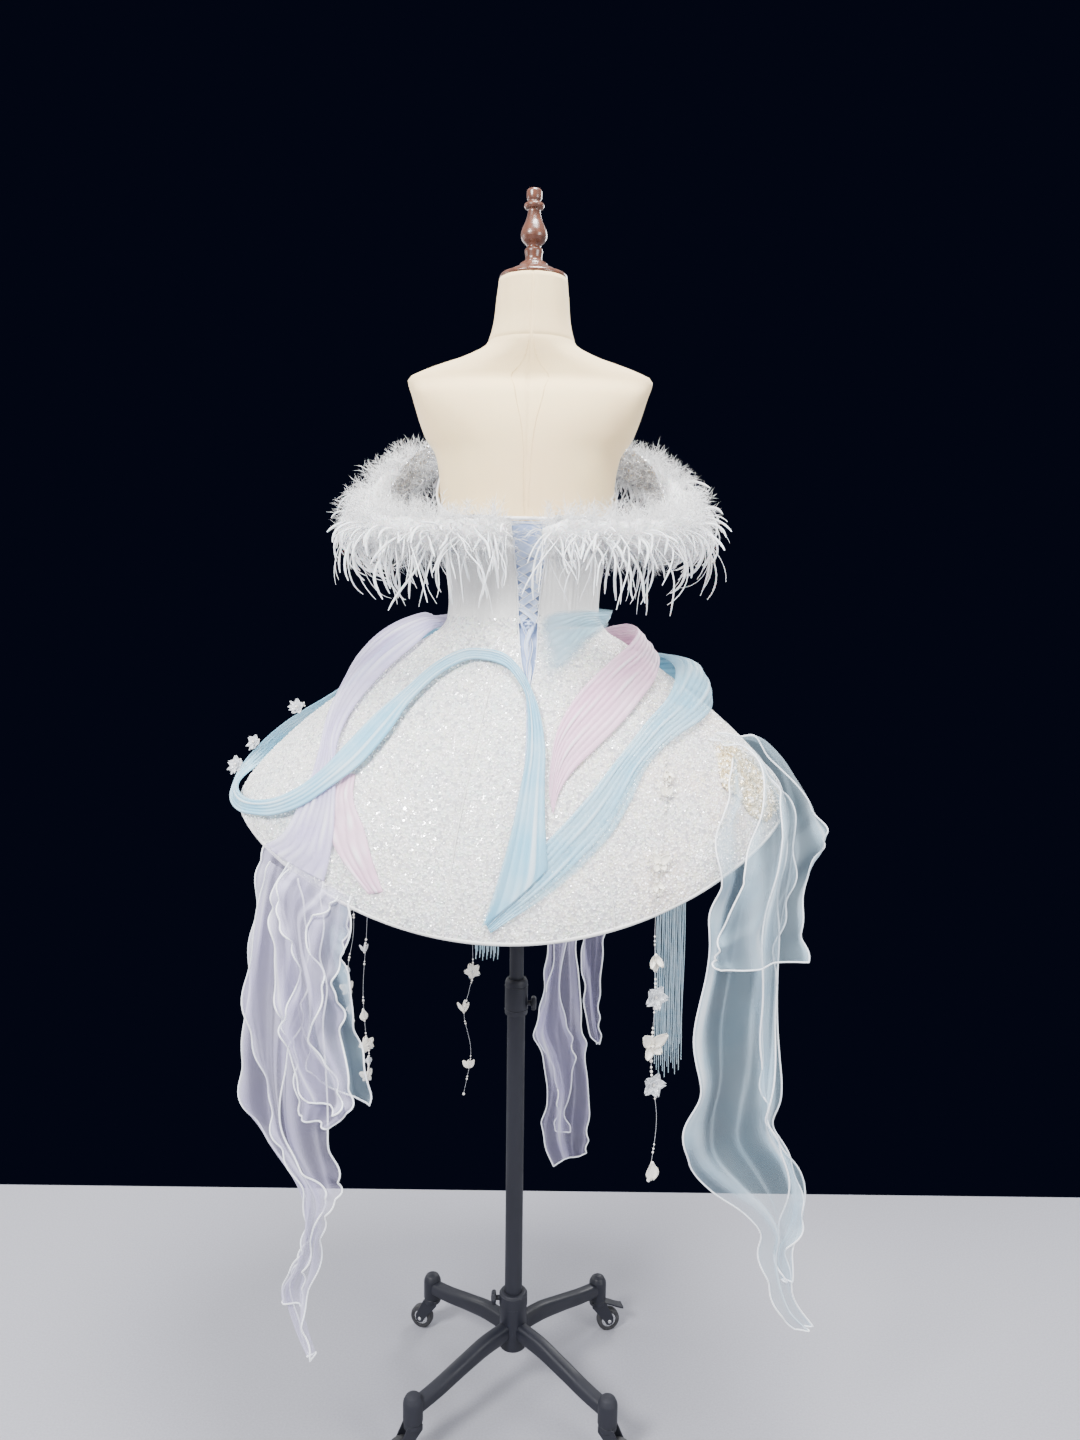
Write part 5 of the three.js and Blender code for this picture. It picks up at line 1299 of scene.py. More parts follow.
class DRESS_OT_feathers(bpy.types.Operator):
    """Makes the fluffy feather trim on the sleeve bands"""

    bl_idname = "dress.feathers"
    bl_label = "Feather trim"

    STRANDS = 270
    RUFFLE = 0.0012

    def execute(self, context):
        plume = self.plume()
        for name, side in (("left", -1), ("right", 1)):
            down = self.strands(self.core(side), side).make("feather_down_" + name, finish("Feather"))
            settle(down, "form", "feather", "feather_trim_" + name)
            fluff = scattered("feather_plumes_" + name, self.core(side), "object", finish("Feather"),
                              shape_object=plume, Density=sizes().plumes, Size=sizes().feather_length,
                              Size_change=0.45, Tilt=1.0, Seed=20 + side)
            self.ruffle(fluff)
            settle(fluff, "form", "feather")
        bpy.data.objects.remove(plume)
        return {"FINISHED"}

    def plume(self):
        """One small plume of unit length: a bent shaft with thin barbs on both sides."""
        bag = Bag()
        z = np.linspace(0, 1, 3)
        tube(bag, np.stack([0.3 * z**2, 0 * z, z], -1), np.array([0.010, 0.009, 0.003]), 3)
        rng = random.Random(4)
        for k in range(11):
            at = 0.12 + 0.076 * k
            root = np.array([0.3 * at**2, 0, at])
            turn = k * 2.4 + rng.uniform(-0.4, 0.4)
            reach = 0.58 * (1 - 0.4 * at)
            tip = root + reach * np.array([math.cos(turn) * 0.75, math.sin(turn) * 0.75, 0.66])
            side = np.array([-math.sin(turn), math.cos(turn), 0]) * 0.0115
            lift = np.array([0, 0, 0.014])
            points = np.array([root - side, root + side, root + lift, tip])
            bag.add(points, [(0, 1, 3), (1, 2, 3), (2, 0, 3), (0, 2, 1)])
        return bag.make("plume", [])

    def core(self, side):
        """The soft middle of the trim that the plumes stand on."""
        n, sides = 110, 28
        u = np.linspace(0, 1, n + 1)
        c, _, out, size = core_at(side, u)
        w = 2 * np.pi * np.arange(sides) / sides
        fluff = 0.78 + 0.07 * np.sin(u * 61)[:, None] * np.sin(3 * w)[None] + 0.06 * np.sin(u * 147)[:, None]
        radius = (size[:, None] * fluff)[..., None]
        end = (np.minimum(1, np.minimum(u, 1 - u) * 22) ** 0.5)[:, None, None]
        ring = FLUFF["out"] * 0.86 * np.cos(w)[None, :, None] * out[:, None]
        ring = ring + FLUFF["tall"] * 0.66 * np.sin(w)[None, :, None] * np.array([0, 0, 1.0])
        points = (c[:, None] + radius * np.maximum(end, 0.3) * ring).reshape(-1, 3) * MM
        return lofted(Bag(), points, sides)

    def strands(self, bag, side):
        """Long curled strands that arch out of the fluff and hang."""
        rng = random.Random(30 + side)
        down = np.array([0, 0, -1.0])
        for i in range(self.STRANDS):
            u = np.array([(i + rng.random()) / self.STRANDS])
            c, t, out, size = (a[0] for a in core_at(side, u))
            at_back = u[0] < 0.3
            start = math.radians(rng.uniform(-30, 75))
            bend = math.radians(rng.uniform(35, 85) if at_back else rng.uniform(50, 165))
            length = rng.uniform(60, 135) * mix(0.75, 1, size) * (1.0 if start > 0.4 else 0.62)
            sideways = t * rng.uniform(-0.45, 0.45)
            first, second = unit(out + sideways), unit(down + sideways * 0.8)
            k = np.linspace(0, 1, 12)
            heading = start + bend * k ** rng.uniform(0.8, 1.6)
            step = first * np.cos(heading)[:, None] + second * np.sin(heading)[:, None]
            wiggle = t * (np.sin(k * rng.uniform(3, 9) + rng.uniform(0, 6)) * rng.uniform(0, 0.4))[:, None]
            path = c + out * 9 + np.cumsum((step + wiggle) * length / 12, axis=0)
            low, floor = path[:, 2].min(), 1258 + 34 * rng.random()
            if low < floor:
                path[:, 2] = c[2] - (c[2] - path[:, 2]) * (c[2] - floor) / (c[2] - low)
            thick = rng.choice([0.5, 0.8, 1.2, 1.7, 2.1])
            radius = np.interp(k, [0, 0.35, 0.85, 1], [0.5, 0.9, 1.0, 0.35]) * thick
            tube(bag, path * MM, radius * MM, 5)
        return bag

    def ruffle(self, obj):
        """Waves the plumes sideways a little, each by where it is."""
        co = np.zeros(len(obj.data.vertices) * 3, np.float32)
        obj.data.vertices.foreach_get("co", co)
        co = co.reshape(-1, 3)
        co[:, 0] += np.sin(co[:, 0] * 210 + co[:, 2] * 90) * self.RUFFLE
        co[:, 1] += np.cos(co[:, 1] * 230 + co[:, 2] * 140) * self.RUFFLE
        obj.data.vertices.foreach_set("co", co.ravel())


# Swags and streamers, one row for each section: the two edges and the crown between them
STRIP = ["phi_a", "s_a", "lift_a", "phi_b", "s_b", "lift_b", "crown"]
SWAGS = {
    "swag_blue_left": [
        [-128, 0.03, 2, -128, 0.11, 2], [-113, 0.05, 28, -116, 0.14, 14], [-107, 0.13, 33, -112, 0.24, 15],
        [-103, 0.25, 25, -109, 0.37, 12], [-100, 0.38, 12, -106, 0.49, 8], [-98, 0.48, 13, -104, 0.6, 8],
        [-97, 0.58, 19, -101, 0.7, 9], [-96, 0.68, 23, -98, 0.78, 7], [-95, 0.8, 25, -96, 0.85, 6],
        [-92, 0.91, 23, -92, 0.89, 7], [-87, 0.98, 16, -86, 0.925, 9], [-78, 0.995, 12, -79, 0.93, 10],
        [-68, 0.97, 11, -71, 0.915, 11], [-60, 0.915, 11, -64, 0.88, 11], [-54, 0.86, 11, -57, 0.81, 11],
        [-48, 0.77, 11, -52, 0.72, 11], [-43.5, 0.66, 11, -49, 0.62, 11], [-39.5, 0.55, 11, -47.5, 0.5, 11],
        [-37.5, 0.42, 11, -46, 0.38, 11], [-37.5, 0.31, 10, -43, 0.27, 10], [-34, 0.2, 9, -39.5, 0.165, 9],
        [-26, 0.135, 8, -31, 0.1, 8], [-16, 0.123, 7, -18, 0.085, 7], [-6, 0.142, 7, -7, 0.1, 7],
        [0, 0.19, 7, 1, 0.15, 7], [2.9, 0.24, 6.5, 5.3, 0.215, 6.5], [3.6, 0.32, 6, 7.8, 0.29, 6],
        [3.2, 0.42, 6, 8.7, 0.4, 6], [1.9, 0.52, 6, 8, 0.51, 6], [0.4, 0.64, 6, 7.6, 0.62, 6],
        [-1.2, 0.75, 6, 7.6, 0.7, 6], [-2.9, 0.86, 5.6, 7.7, 0.755, 5.6], [-4.5, 0.95, 5.4, 7.5, 0.775, 5.4]],
    "swag_lavender_left": [
        [-102, -0.06, 2, -98, 0.0, 2.1], [-96, -0.02, 24, -84, 0.035, 6], [-93, 0.09, 42, -69, 0.1, 8],
        [-90, 0.18, 44, -65, 0.22, 7], [-86, 0.27, 33, -61, 0.33, 6.5], [-80, 0.35, 17, -56, 0.45, 6.5],
        [-73, 0.42, 8, -50.5, 0.55, 6.5], [-64, 0.49, 6.5, -45, 0.62, 6.5], [-56, 0.58, 6.5, -41, 0.7, 6.5],
        [-51, 0.69, 6.5, -38, 0.78, 6.5], [-49.5, 0.8, 6.5, -36.5, 0.86, 6.5],
        [-50, 0.9, 6.5, -36, 0.91, 6.5], [-54, 0.985, 6.5, -36, 0.955, 6.5]],
    "swag_pink_left": [
        [-44, 0.6, 3.2, -40.5, 0.59, 3.2], [-43, 0.68, 3.2, -37, 0.67, 3.2],
        [-41.5, 0.76, 3.2, -31.5, 0.74, 3.2], [-36, 0.84, 3.2, -27, 0.83, 3.2],
        [-26.5, 0.93, 2, -23.6, 0.905, 2]],
    "swag_pink_right": [
        [118, 0.02, 2, 116, 0.11, 2], [104, 0.05, 20, 104, 0.15, 12], [95, 0.07, 29, 94, 0.185, 18],
        [84, 0.1, 30, 83, 0.21, 15], [66, 0.12, 16, 70, 0.24, 9], [50, 0.14, 8, 57, 0.275, 7],
        [37, 0.175, 6, 46, 0.31, 6], [26, 0.22, 5, 34, 0.365, 5], [17.5, 0.285, 4.5, 24, 0.42, 4.5],
        [12.3, 0.36, 4, 16, 0.48, 4], [9.8, 0.45, 3.4, 11.6, 0.54, 3.4], [8.8, 0.545, 2.6, 9.4, 0.61, 2.6]],
    "swag_blue_right": [
        [120, 0.14, 2, 118, 0.3, 2], [108, 0.19, 16, 106, 0.37, 12, 14], [97, 0.235, 20, 95, 0.42, 14, 24],
        [86, 0.27, 18, 85, 0.45, 12, 20], [72, 0.3, 12, 74, 0.465, 9, 8], [56, 0.345, 9, 61, 0.47, 8, 2],
        [43, 0.385, 8, 52, 0.472, 7], [33, 0.44, 6, 43.5, 0.49, 5.5], [25, 0.5, 4.5, 35, 0.535, 4.5],
        [19, 0.56, 3.8, 28, 0.62, 3.8], [13.5, 0.62, 3.2, 22, 0.7, 3.2], [8.5, 0.68, 3, 16, 0.765, 3],
        [4.5, 0.74, 3, 10, 0.83, 3], [1, 0.8, 3, 5, 0.88, 3], [-1.8, 0.86, 2.8, 1, 0.92, 2.8],
        [-4, 0.93, 2, -2.8, 0.965, 2]],
    "swag_aqua_right": [
        [122, -0.1, 2.6, 120, -0.012, 2.6], [106, -0.095, 13, 106, 0, 7], [92, -0.085, 22, 91, 0.008, 11],
        [74, -0.085, 12, 74, 0.02, 6], [56, -0.09, 5, 58, 0.04, 4], [40, -0.09, 3, 42, 0.07, 3],
        [26, -0.085, 2.6, 27, 0.13, 2.6], [11, -0.05, 2.1, 9, 0.21, 2.1]],
}
STREAMERS = {
    "streamer_left_long": [
        [-54, 0.9865, 6.5, -36, 0.9565, 6.5], [-54.5, 1.08, 13, -35.4, 1.05, 13],
        [-55.7, 1.285, 18, -35, 1.22, 18], [-57.5, 1.45, 20, -34.6, 1.4, 20], [-58.5, 1.62, 20, -34, 1.6, 20],
        [-58.7, 1.8, 20, -33.3, 1.78, 20], [-57.3, 1.95, 20, -32.4, 1.9, 20], [-50, 1.99, 20, -32, 1.985, 20],
        [-42.5, 2.05, 20, -32.6, 2.04, 20], [-39.8, 2.14, 20, -34.5, 2.12, 20],
        [-39.4, 2.24, 20, -35.8, 2.22, 20], [-42, 2.36, 20, -37.4, 2.34, 20],
        [-46.5, 2.49, 20, -39, 2.46, 20], [-43.5, 2.58, 20, -38.6, 2.55, 20],
        [-38.6, 2.64, 20, -37.2, 2.645, 20]],
    "streamer_left_short": [
        [-45, 0.965, 9, -29.5, 0.955, 9], [-45.8, 1.05, 24, -28.2, 1.02, 24],
        [-46, 1.13, 33, -28.6, 1.11, 33], [-43.5, 1.24, 38, -30.3, 1.22, 38],
        [-42.4, 1.36, 38, -29.4, 1.33, 38], [-41.4, 1.48, 38, -29.2, 1.44, 38],
        [-40, 1.59, 38, -26.5, 1.54, 38], [-39, 1.68, 38, -26.5, 1.63, 38],
        [-38, 1.755, 38, -31.5, 1.735, 38]],
    "streamer_left_blue": [
        [-46, 0.975, -4.6, -30.5, 0.975, -4.6], [-46.5, 1.07, -4.8, -31, 1.07, -4.8],
        [-46.5, 1.14, 0, -31, 1.14, 0], [-46, 1.25, 3, -30, 1.25, 3], [-44, 1.42, 4, -28.6, 1.42, 4],
        [-42, 1.56, 4, -26.5, 1.56, 4], [-41, 1.66, 4, -25, 1.64, 4]],
    "streamer_front_long": [
        [170.5, 0.95, 2, 165.5, 0.95, 2], [171.5, 1.15, 7, 165, 1.15, 7], [172, 1.35, 8, 164.8, 1.35, 8],
        [172.3, 1.55, 8, 164.2, 1.55, 8], [173, 1.75, 8, 163.4, 1.75, 8], [174.8, 1.92, 8, 162.4, 1.92, 8],
        [173, 2.05, 8, 161.8, 2.06, 8], [171.3, 2.2, 8, 161.2, 2.22, 8], [172.3, 2.34, 8, 160.9, 2.35, 8],
        [172.4, 2.46, 8, 160.5, 2.45, 8], [169.5, 2.58, 8, 161, 2.53, 8]],
    "streamer_front_short": [
        [163, 0.95, 1.2, 157, 0.95, 1.2], [163.2, 1.2, 14, 157.4, 1.2, 14], [163.5, 1.45, 20, 158, 1.42, 20],
        [163.4, 1.57, 20, 157.6, 1.55, 20], [162.5, 1.72, 20, 158.4, 1.7, 20],
        [161.2, 1.9, 20, 158.6, 1.88, 20], [159.3, 2.01, 20, 158, 2.01, 20]],
    "streamer_right_long": [
        [64, 0.645, 5, 71, 0.63, 5], [56, 0.71, 6, 77, 0.75, 6], [51.5, 0.77, 7, 79, 0.87, 7],
        [44.5, 0.83, 8, 79, 0.96, 10], [41, 1.02, 11, 70, 1.1, 18], [40.2, 1.15, 7, 64, 1.24, 23],
        [39.8, 1.3, 3, 61, 1.4, 23], [38, 1.5, -6, 60.6, 1.6, 25], [39.2, 1.7, -9, 60.5, 1.78, 27],
        [37.4, 1.85, -20, 60.4, 1.92, 32], [39.8, 2.0, -24, 60, 2.03, 32], [46.5, 2.16, -8, 62.5, 2.17, 52],
        [53.5, 2.3, 17, 63.2, 2.3, 60], [57.5, 2.42, 34, 63, 2.42, 56], [58.6, 2.52, 32, 62, 2.52, 46],
        [59.3, 2.63, 34, 63, 2.63, 54], [61.6, 2.76, 46, 64.2, 2.73, 64], [65, 2.85, 72, 66.2, 2.84, 80]],
    "streamer_right_ruffle": [
        [61.5, 0.535, 2, 68, 0.535, 2], [64, 0.6, 14, 73.5, 0.6, 14], [65, 0.68, 28, 78.4, 0.66, 28],
        [60, 0.78, 38, 80.5, 0.77, 30], [51, 0.89, 38, 81.2, 0.88, 32], [45, 0.99, 36, 80, 0.99, 36],
        [41.5, 1.07, 32, 78.6, 1.09, 54], [40, 1.14, 30, 74.5, 1.15, 50], [39.6, 1.2, 30, 66.3, 1.22, 44],
        [40.5, 1.25, 30, 64.2, 1.33, 46], [41.2, 1.28, 30, 63.5, 1.44, 46]],
}


def strip_lines(table, u):
    """The two edges and the crown of a strip at each u along it."""
    rows = named(STRIP, table)
    a = spline(np.stack([rows["phi_a"], rows["s_a"], rows["lift_a"]], -1), u)
    b = spline(np.stack([rows["phi_b"], rows["s_b"], rows["lift_b"]], -1), u)
    crown = spline(rows["crown"][:, None], u)[..., 0]
    return a, b, crown


class DRESS_OT_swags(bpy.types.Operator):
    """Makes the pleated organza swags over the skirt"""

    bl_idname = "dress.swags"
    bl_label = "Swags"

    PLEATS = named(["along", "pleats", "depth"], [
        [300, 5, 4.6], [110, 7, 3.2], [60, 4, 2.2], [120, 9, 3.6], [150, 8, 2.8], [110, 9, 1.8]])
    LOOK = [("Aqua organza", "aqua", 0.66), ("Lavender organza", "lavender", 0.38),
            ("Pink organza", "pink", 0.5), ("Pink organza", "pink", 0.5), ("Aqua sheer", "aqua", 0.32),
            ("Waist organza", "sky", 0.42)]
    WAIST_BORDER = (0.40, 0.74, 0.90)

    def execute(self, context):
        for k, (name, table) in enumerate(SWAGS.items()):
            row = {key: values[k] for key, values in self.PLEATS.items()}
            self.swag(name, table, row, *self.LOOK[k], seed=k)
        return {"FINISHED"}

    def swag(self, name, table, row, cloth, which, veil, seed):
        rng = random.Random(seed + 60)
        pleats = int(row["pleats"])
        u, v = grid(int(row["along"]), pleats * 7)
        a, b, crown = strip_lines(table, u)
        height = np.array([rng.uniform(0.55, 1.0) for _ in range(pleats + 2)])
        drift = 0.10 * np.sin(u * 7 + seed) + 0.05 * np.sin(u * 17 + seed * 2)
        x = np.clip(v + drift * 4 * v * (1 - v) * 0.5, 0, 1) * pleats
        lobe = np.minimum(np.floor(x).astype(int), pleats - 1)
        f = x - lobe
        tubes = np.sqrt(np.clip(1 - (2 * f - 1) ** 2, 0, 1)) * height[lobe]
        swell = 0.75 + 0.25 * np.sin(u * 23 + lobe * 1.7)
        open_end = smooth(0.0, 0.06, u) * mix(1, 0.6, smooth(0.9, 1, u))
        raised = row["depth"] * tubes * swell * open_end
        lift = mix(a[..., 2], b[..., 2], v) + crown * 4 * v * (1 - v) + raised - 0.4
        phi, s = mix(a[..., 0], b[..., 0], v), mix(a[..., 1], b[..., 1], v)
        outer = dress(phi, s, lift)
        inner = dress(phi, s, lift - sizes().organza_wall / MM)
        # fold: crests of the pleats are denser and get a painted highlight, valleys get painted shade; where
        # it is pushed below zero the cloth is thinner and darker
        fold = np.clip(tubes * swell, 0, 1)
        other = None
        if name == "swag_blue_left":
            fold = fold - 0.75 * smooth(0.72, 0.8, u) * (smooth(0.3, 0, v) + 0.6 * smooth(0.7, 1, v))
        if name == "swag_blue_right":
            fold = 0.8 * fold - 0.8 * smooth(0.3, 0.5, u) * smooth(0.6, 1, v) * smooth(0.97, 0.85, u)
        if name == "swag_aqua_right":
            border = smooth(0, 0.16, v) * smooth(1, 0.74, v) * smooth(1, 0.9, u)
            fold = 0.7 * fold ** 2 * border - 0.95 * (1 - border)
            other = self.WAIST_BORDER
        obj = shell(Bag(), outer, inner, 0, fold).make(name + "_cloth", sheer(cloth, which, veil, other))
        settle(obj, "form", which, name)
        state_cut(outer)


class DRESS_OT_streamers(bpy.types.Operator):
    """Makes the sheer streamers with their fluted, corded hems"""

    bl_idname = "dress.streamers"
    bl_label = "Streamers"

    FALL = named(["along", "folds", "depth", "flutes"], [
        [260, 1.6, 7, 10], [150, 1.6, 7, 7], [90, 1.2, 3, 5], [180, 1.2, 5, 7], [130, 1.0, 4, 5],
        [280, 1.4, 7, 9], [170, 1.4, 7, 6]])
    LOOK = ["haze", "haze", "sky", "haze", "haze", "sky", "sky"]
    VEIL = {"haze": 0.185, "sky": 0.17}
    # The part of its width that each of these streamers has turned over, from 0 at one edge to 1 at the other
    TURNED = {"streamer_left_long": (0.22, 0.74), "streamer_left_short": (0.2, 0.72),
              "streamer_front_long": (0.16, 0.62), "streamer_right_long": (0.72, 0.93)}

    def execute(self, context):
        for k, (name, table) in enumerate(STREAMERS.items()):
            row = {key: values[k] for key, values in self.FALL.items()}
            self.layer(name, name, table, row, self.LOOK[k], k)
            if name in self.TURNED:
                self.layer(name + "_turn", None, table, row, self.LOOK[k], k + 3, self.TURNED[name], 5.5)
        return {"FINISHED"}

    def layer(self, name, node, table, row, which, seed, span=(0, 1), over=0):
        """One width of the cloth over a span across the strip, over millimetres in front of it."""
        u, v = grid(int(row["along"]), 32 if node else 18)
        a, b, crown = strip_lines(table, u if node else 0.02 + 0.86 * u)
        across = v
        if not node:
            across = mix(span[0] + 0.13 * np.sin(9 * u + seed), span[1] + 0.15 * np.sin(13 * u + 2 * seed), v)
        grow = smooth(0.03, 0.3, u)
        wave = row["depth"] * grow * np.sin(2 * np.pi * (row["folds"] * across + 0.22 * np.sin(5 * u)))
        edge = np.abs(2 * v - 1) ** 5
        turn = np.where(v < 0.5, 0.0, 1.9) + seed
        drift = 2.3 * np.sin(7.3 * u + turn) + 1.5 * np.sin(16.1 * u + 2 * turn)
        phase = 2 * np.pi * row["flutes"] * u + drift
        swell = (0.35 + 0.65 * np.sin(10.7 * u + 1.7 * turn) ** 2) * smooth(0, 0.08, u)
        flute = sizes().hem_wave / MM * edge * swell * np.sin(phase)
        roll = 1.6 * sizes().hem_wave / MM * np.abs(2 * v - 1) ** 2.4 * grow * np.sin(0.31 * phase + turn)
        fine = 0.4 * grow * np.sin(2 * np.pi * 5 * v + 6 * np.sin(3 * u + seed))
        lift = mix(a[..., 2], b[..., 2], across) + crown * 4 * v * (1 - v) + over
        lift = lift + wave + flute + roll + fine
        side = np.sign(v - 0.5) * np.sign(b[..., 0] - a[..., 0])
        phi = mix(a[..., 0], b[..., 0], across) + degrees(3.6 * edge * swell * side * np.cos(phase), 1.0)
        s = mix(a[..., 1], b[..., 1], across)
        outer = dress(phi, s, lift)
        inner = dress(phi, s, lift - sizes().organza_wall / MM)
        # fold: painted highlight lines on the ridges of the folds and on crease lines, a paler, denser band
        # by the hems, and at the top, by the skirt's hem, thinner cloth with painted shade; it also sets how
        # dense the sheer is
        ridge = 0.5 + 0.5 * np.sin(2 * np.pi * (row["folds"] * v + 0.22 * np.sin(5 * u)))
        crease_highlight = 0.5 + 0.5 * np.sin(2 * np.pi * (3.4 * v + 0.3 * np.sin(4 * u + seed)))
        fold = 0.75 * ridge**6 + 0.45 * crease_highlight**9 + 0.1 * edge - 0.25
        fold = fold - 0.45 * smooth(1.03, 0.94, s)
        material = sheer(which.title() + " streamer organza", which, self.VEIL[which])
        obj = shell(Bag(), outer, inner, 0, np.clip(fold, -0.75, 1)).make(name + "_cloth", material)
        settle(obj, "form", which, *([node] if node else []))
        middle = (outer + inner) / 2
        ring = np.vstack([middle[:, 0], middle[-1, 1:-1], middle[::-1, -1]])
        hem = tube(Bag(), ring, sizes().rolled_hem, 6).make(name + "_hem", finish("Rolled hem"))
        settle(hem, "form", which)
        state_cut(outer)


# Flowers and beads
PETAL_WALL = 0.0004
# One row for each petal: its angle from straight down, length, width, cup, notch and how round its root is
CHARMS = {
    "open": [(72 * k + 12, 1.0, 0.84, 0.22, 0.30, 0.75) for k in range(5)],
    "cross": [(128, 1.15, 0.80, 0.18, 0.0, 0.80), (222, 1.05, 0.78, 0.20, 0.1, 0.80),
              (325, 0.85, 0.62, 0.25, 0.0, 0.85), (50, 0.75, 0.60, 0.15, 0.1, 0.85)],
    "bud": [(-24, 1.0, 0.50, 0.30, 0.0, 1.0), (2, 1.25, 0.62, 0.10, 0.0, 1.0),
            (30, 0.95, 0.45, 0.40, 0.0, 1.0)],
    "leaves": [(148, 1.15, 0.36, 0.20, 0.0, 1.1), (184, 1.25, 0.32, 0.10, 0.0, 1.1),
               (209, 1.05, 0.36, 0.25, 0.0, 1.1)],
    "cup": [(142, 1.0, 0.62, 0.25, 0.0, 0.8), (178, 0.85, 0.55, 0.10, 0.0, 0.8),
            (220, 1.0, 0.62, 0.25, 0.0, 0.8)],
    "heart": [(0, 1.7, 1.30, 0.05, 0.0, 1.35)],
}


def petal_leaf(bag, root, along, face, row, radius, slot):
    """One thin petal from its root; the cup lifts its tip towards face and the notch splits it."""
    length, width, cup, notch, tip = row
    across = np.cross(face, along)
    u, v = grid(7, 6)
    t = 2 * v - 1
    half = width / 2 * np.sin(np.pi * (0.07 + 0.86 * u**tip))
    reach = length * u * (1 - notch * np.exp(-((t / 0.35) ** 2)) * u**4)
    rise = cup * u**2 + 0.10 * t * t + 0.03 * np.sin(11 * v + 5 * u)
    middle = along * reach[..., None] + across * (half * t)[..., None] + face * rise[..., None]
    points = root + radius * middle
    shell(bag, points + face * PETAL_WALL / 2, points - face * PETAL_WALL / 2, slot)


def charm(bag, at, out, kind, radius, slot=0, turn=0.0):
    """A small flower, bud or leaf on a thread, its face towards out."""
    face = unit(np.asarray(out, float))
    down = np.array([0, 0, -1.0])
    down = unit(down - face * np.dot(down, face))
    side = np.cross(face, down)
    for angle, *row in CHARMS[kind]:
        w = math.radians(angle) + turn
        along = down * math.cos(w) + side * math.sin(w)
        petal_leaf(bag, at, along, face, row, radius, slot)
        if kind == "open":
            raised = [row[0] * 0.55, row[1] * 0.5, 0.35, 0.0, row[4]]
            petal_leaf(bag, at + face * 0.001, along, face, raised, radius, slot)


def bead(bag, at, radius, slot=0):
    """A small round bead."""
    w = np.linspace(0, np.pi, 5)[1:-1]
    a = 2 * np.pi * np.arange(7) / 7
    rings = [[(math.sin(t) * math.cos(p), math.sin(t) * math.sin(p), math.cos(t)) for p in a] for t in w]
    points = np.array([(0, 0, 1), *[q for ring in rings for q in ring], (0, 0, -1)], float)
    pairs = [(k, (k + 1) % 7) for k in range(7)]
    faces = [(0, 1 + k, 1 + m) for k, m in pairs]
    for r in (1, 8):
        faces += [(r + k, r + 7 + k, r + 7 + m, r + m) for k, m in pairs]
    faces += [(22, 15 + m, 15 + k) for k, m in pairs]
    return bag.add(np.asarray(at) + points * radius, faces, slot)


class DRESS_OT_strands(bpy.types.Operator):
    """Makes the hanging threads with their beads and flowers"""

    bl_idname = "dress.strands"
    bl_label = "Flower strands"

    STRANDS = {
        "strand_right": (
            [[42.5, 0.515, 1.4], [36, 0.67, 2.2], [30.8, 0.82, 3], [28.2, 0.92, 4], [27.3, 1.05, 8],
             [27.7, 1.25, 8], [27.2, 1.5, 8], [28.6, 1.7, 8], [27.2, 1.9, 8]],
            [(0.04, 12, "bud", 0), (0.10, 13, "cup", 0), (0.27, 14, "cross", 0), (0.34, 13, "bud", 0),
             (0.55, 16, "bud", 0), (0.635, 15, "open", 3), (0.715, 19, "cross", 0), (0.79, 15, "open", 3),
             (0.962, 13, "heart", 0)]),
        "strand_centre": (
            [[-167.5, 0.96, 0.2], [-168, 1.1, 8], [-169.1, 1.6, 8], [-168.2, 1.73, 8], [-166.9, 1.85, 8],
             [-168.7, 2.03, 8], [-166.9, 2.24, 8]],
            [(0.36, 14, "open", 0), (0.66, 17, "leaves", 0), (0.90, 15, "cup", 0)]),
        "strand_left_front": (
            [[-134, 0.96, -0.1], [-135.5, 1.1, 8], [-137, 1.5, 8], [-135.3, 1.7, 8], [-135.3, 1.82, 8],
             [-136.7, 1.96, 8]],
            [(0.36, 14, "cross", 0), (0.62, 11, "bud", 3), (0.80, 14, "cross", 0), (0.90, 12, "bud", 3)]),
        "strand_left_side": (
            [[-141.5, 0.96, -0.6], [-141.5, 1.1, 8], [-140.8, 1.5, 8], [-139.6, 1.8, 8], [-140.3, 2.01, 8],
             [-141.2, 2.1, 8], [-140.7, 2.24, 8]],
            [(0.40, 13, "leaves", 3), (0.57, 11, "heart", 0), (0.76, 14, "open", 0), (0.86, 12, "bud", 3),
             (0.97, 13, "cross", 0)]),
    }
    BEADS_AT = (-0.024, -0.018, -0.013, 0.016, 0.021)
    THREAD = 0.0003

    def execute(self, context):
        for k, (name, (path, charms)) in enumerate(self.STRANDS.items()):
            self.strand(name, path, charms, random.Random(80 + k))
        return {"FINISHED"}

    def strand(self, name, path, charms, rng):
        bag = Bag()
        along = np.linspace(0, 1, 120)
        line = spline(path, along)
        points = dress(line[:, 0], line[:, 1], line[:, 2] + 0.4)
        thread = tube(Bag(), points, self.THREAD, 6).make(name + "_thread", finish("Silver thread"))
        settle(thread, "form", "petal")
        gone = gone_along(points)
        for t, r, kind, slot in charms:
            q = spline(path, np.array([t]))
            at = dress(q[:, 0], q[:, 1], q[:, 2] + 0.4)[0]
            out = unit(dress(q[:, 0], q[:, 1], q[:, 2] + 1.4)[0] - at)
            charm(bag, at + out * 0.0008, out, kind, 1.15 * r * MM, slot, rng.uniform(-0.15, 0.15))
            bead(bag, at + out * 0.003, 0.0022, 1)
            here = np.interp(t, along, gone)
            for away in self.BEADS_AT:
                where = np.clip(here + away, 0, gone[-1])
                spot = np.array([np.interp(where, gone, points[:, i]) for i in range(3)])
                bead(bag, spot, sizes().bead_radius * rng.uniform(0.6, 1.15), 1)
        bead(bag, points[-1], sizes().bead_radius * 1.3, 1)
        used = [finish(each) for each in ("Ivory petal", "Pearl", "Silver thread", "Clear petal")]
        flowers = bag.make(name + "_flowers", used)
        settle(flowers, "form", "petal", name)


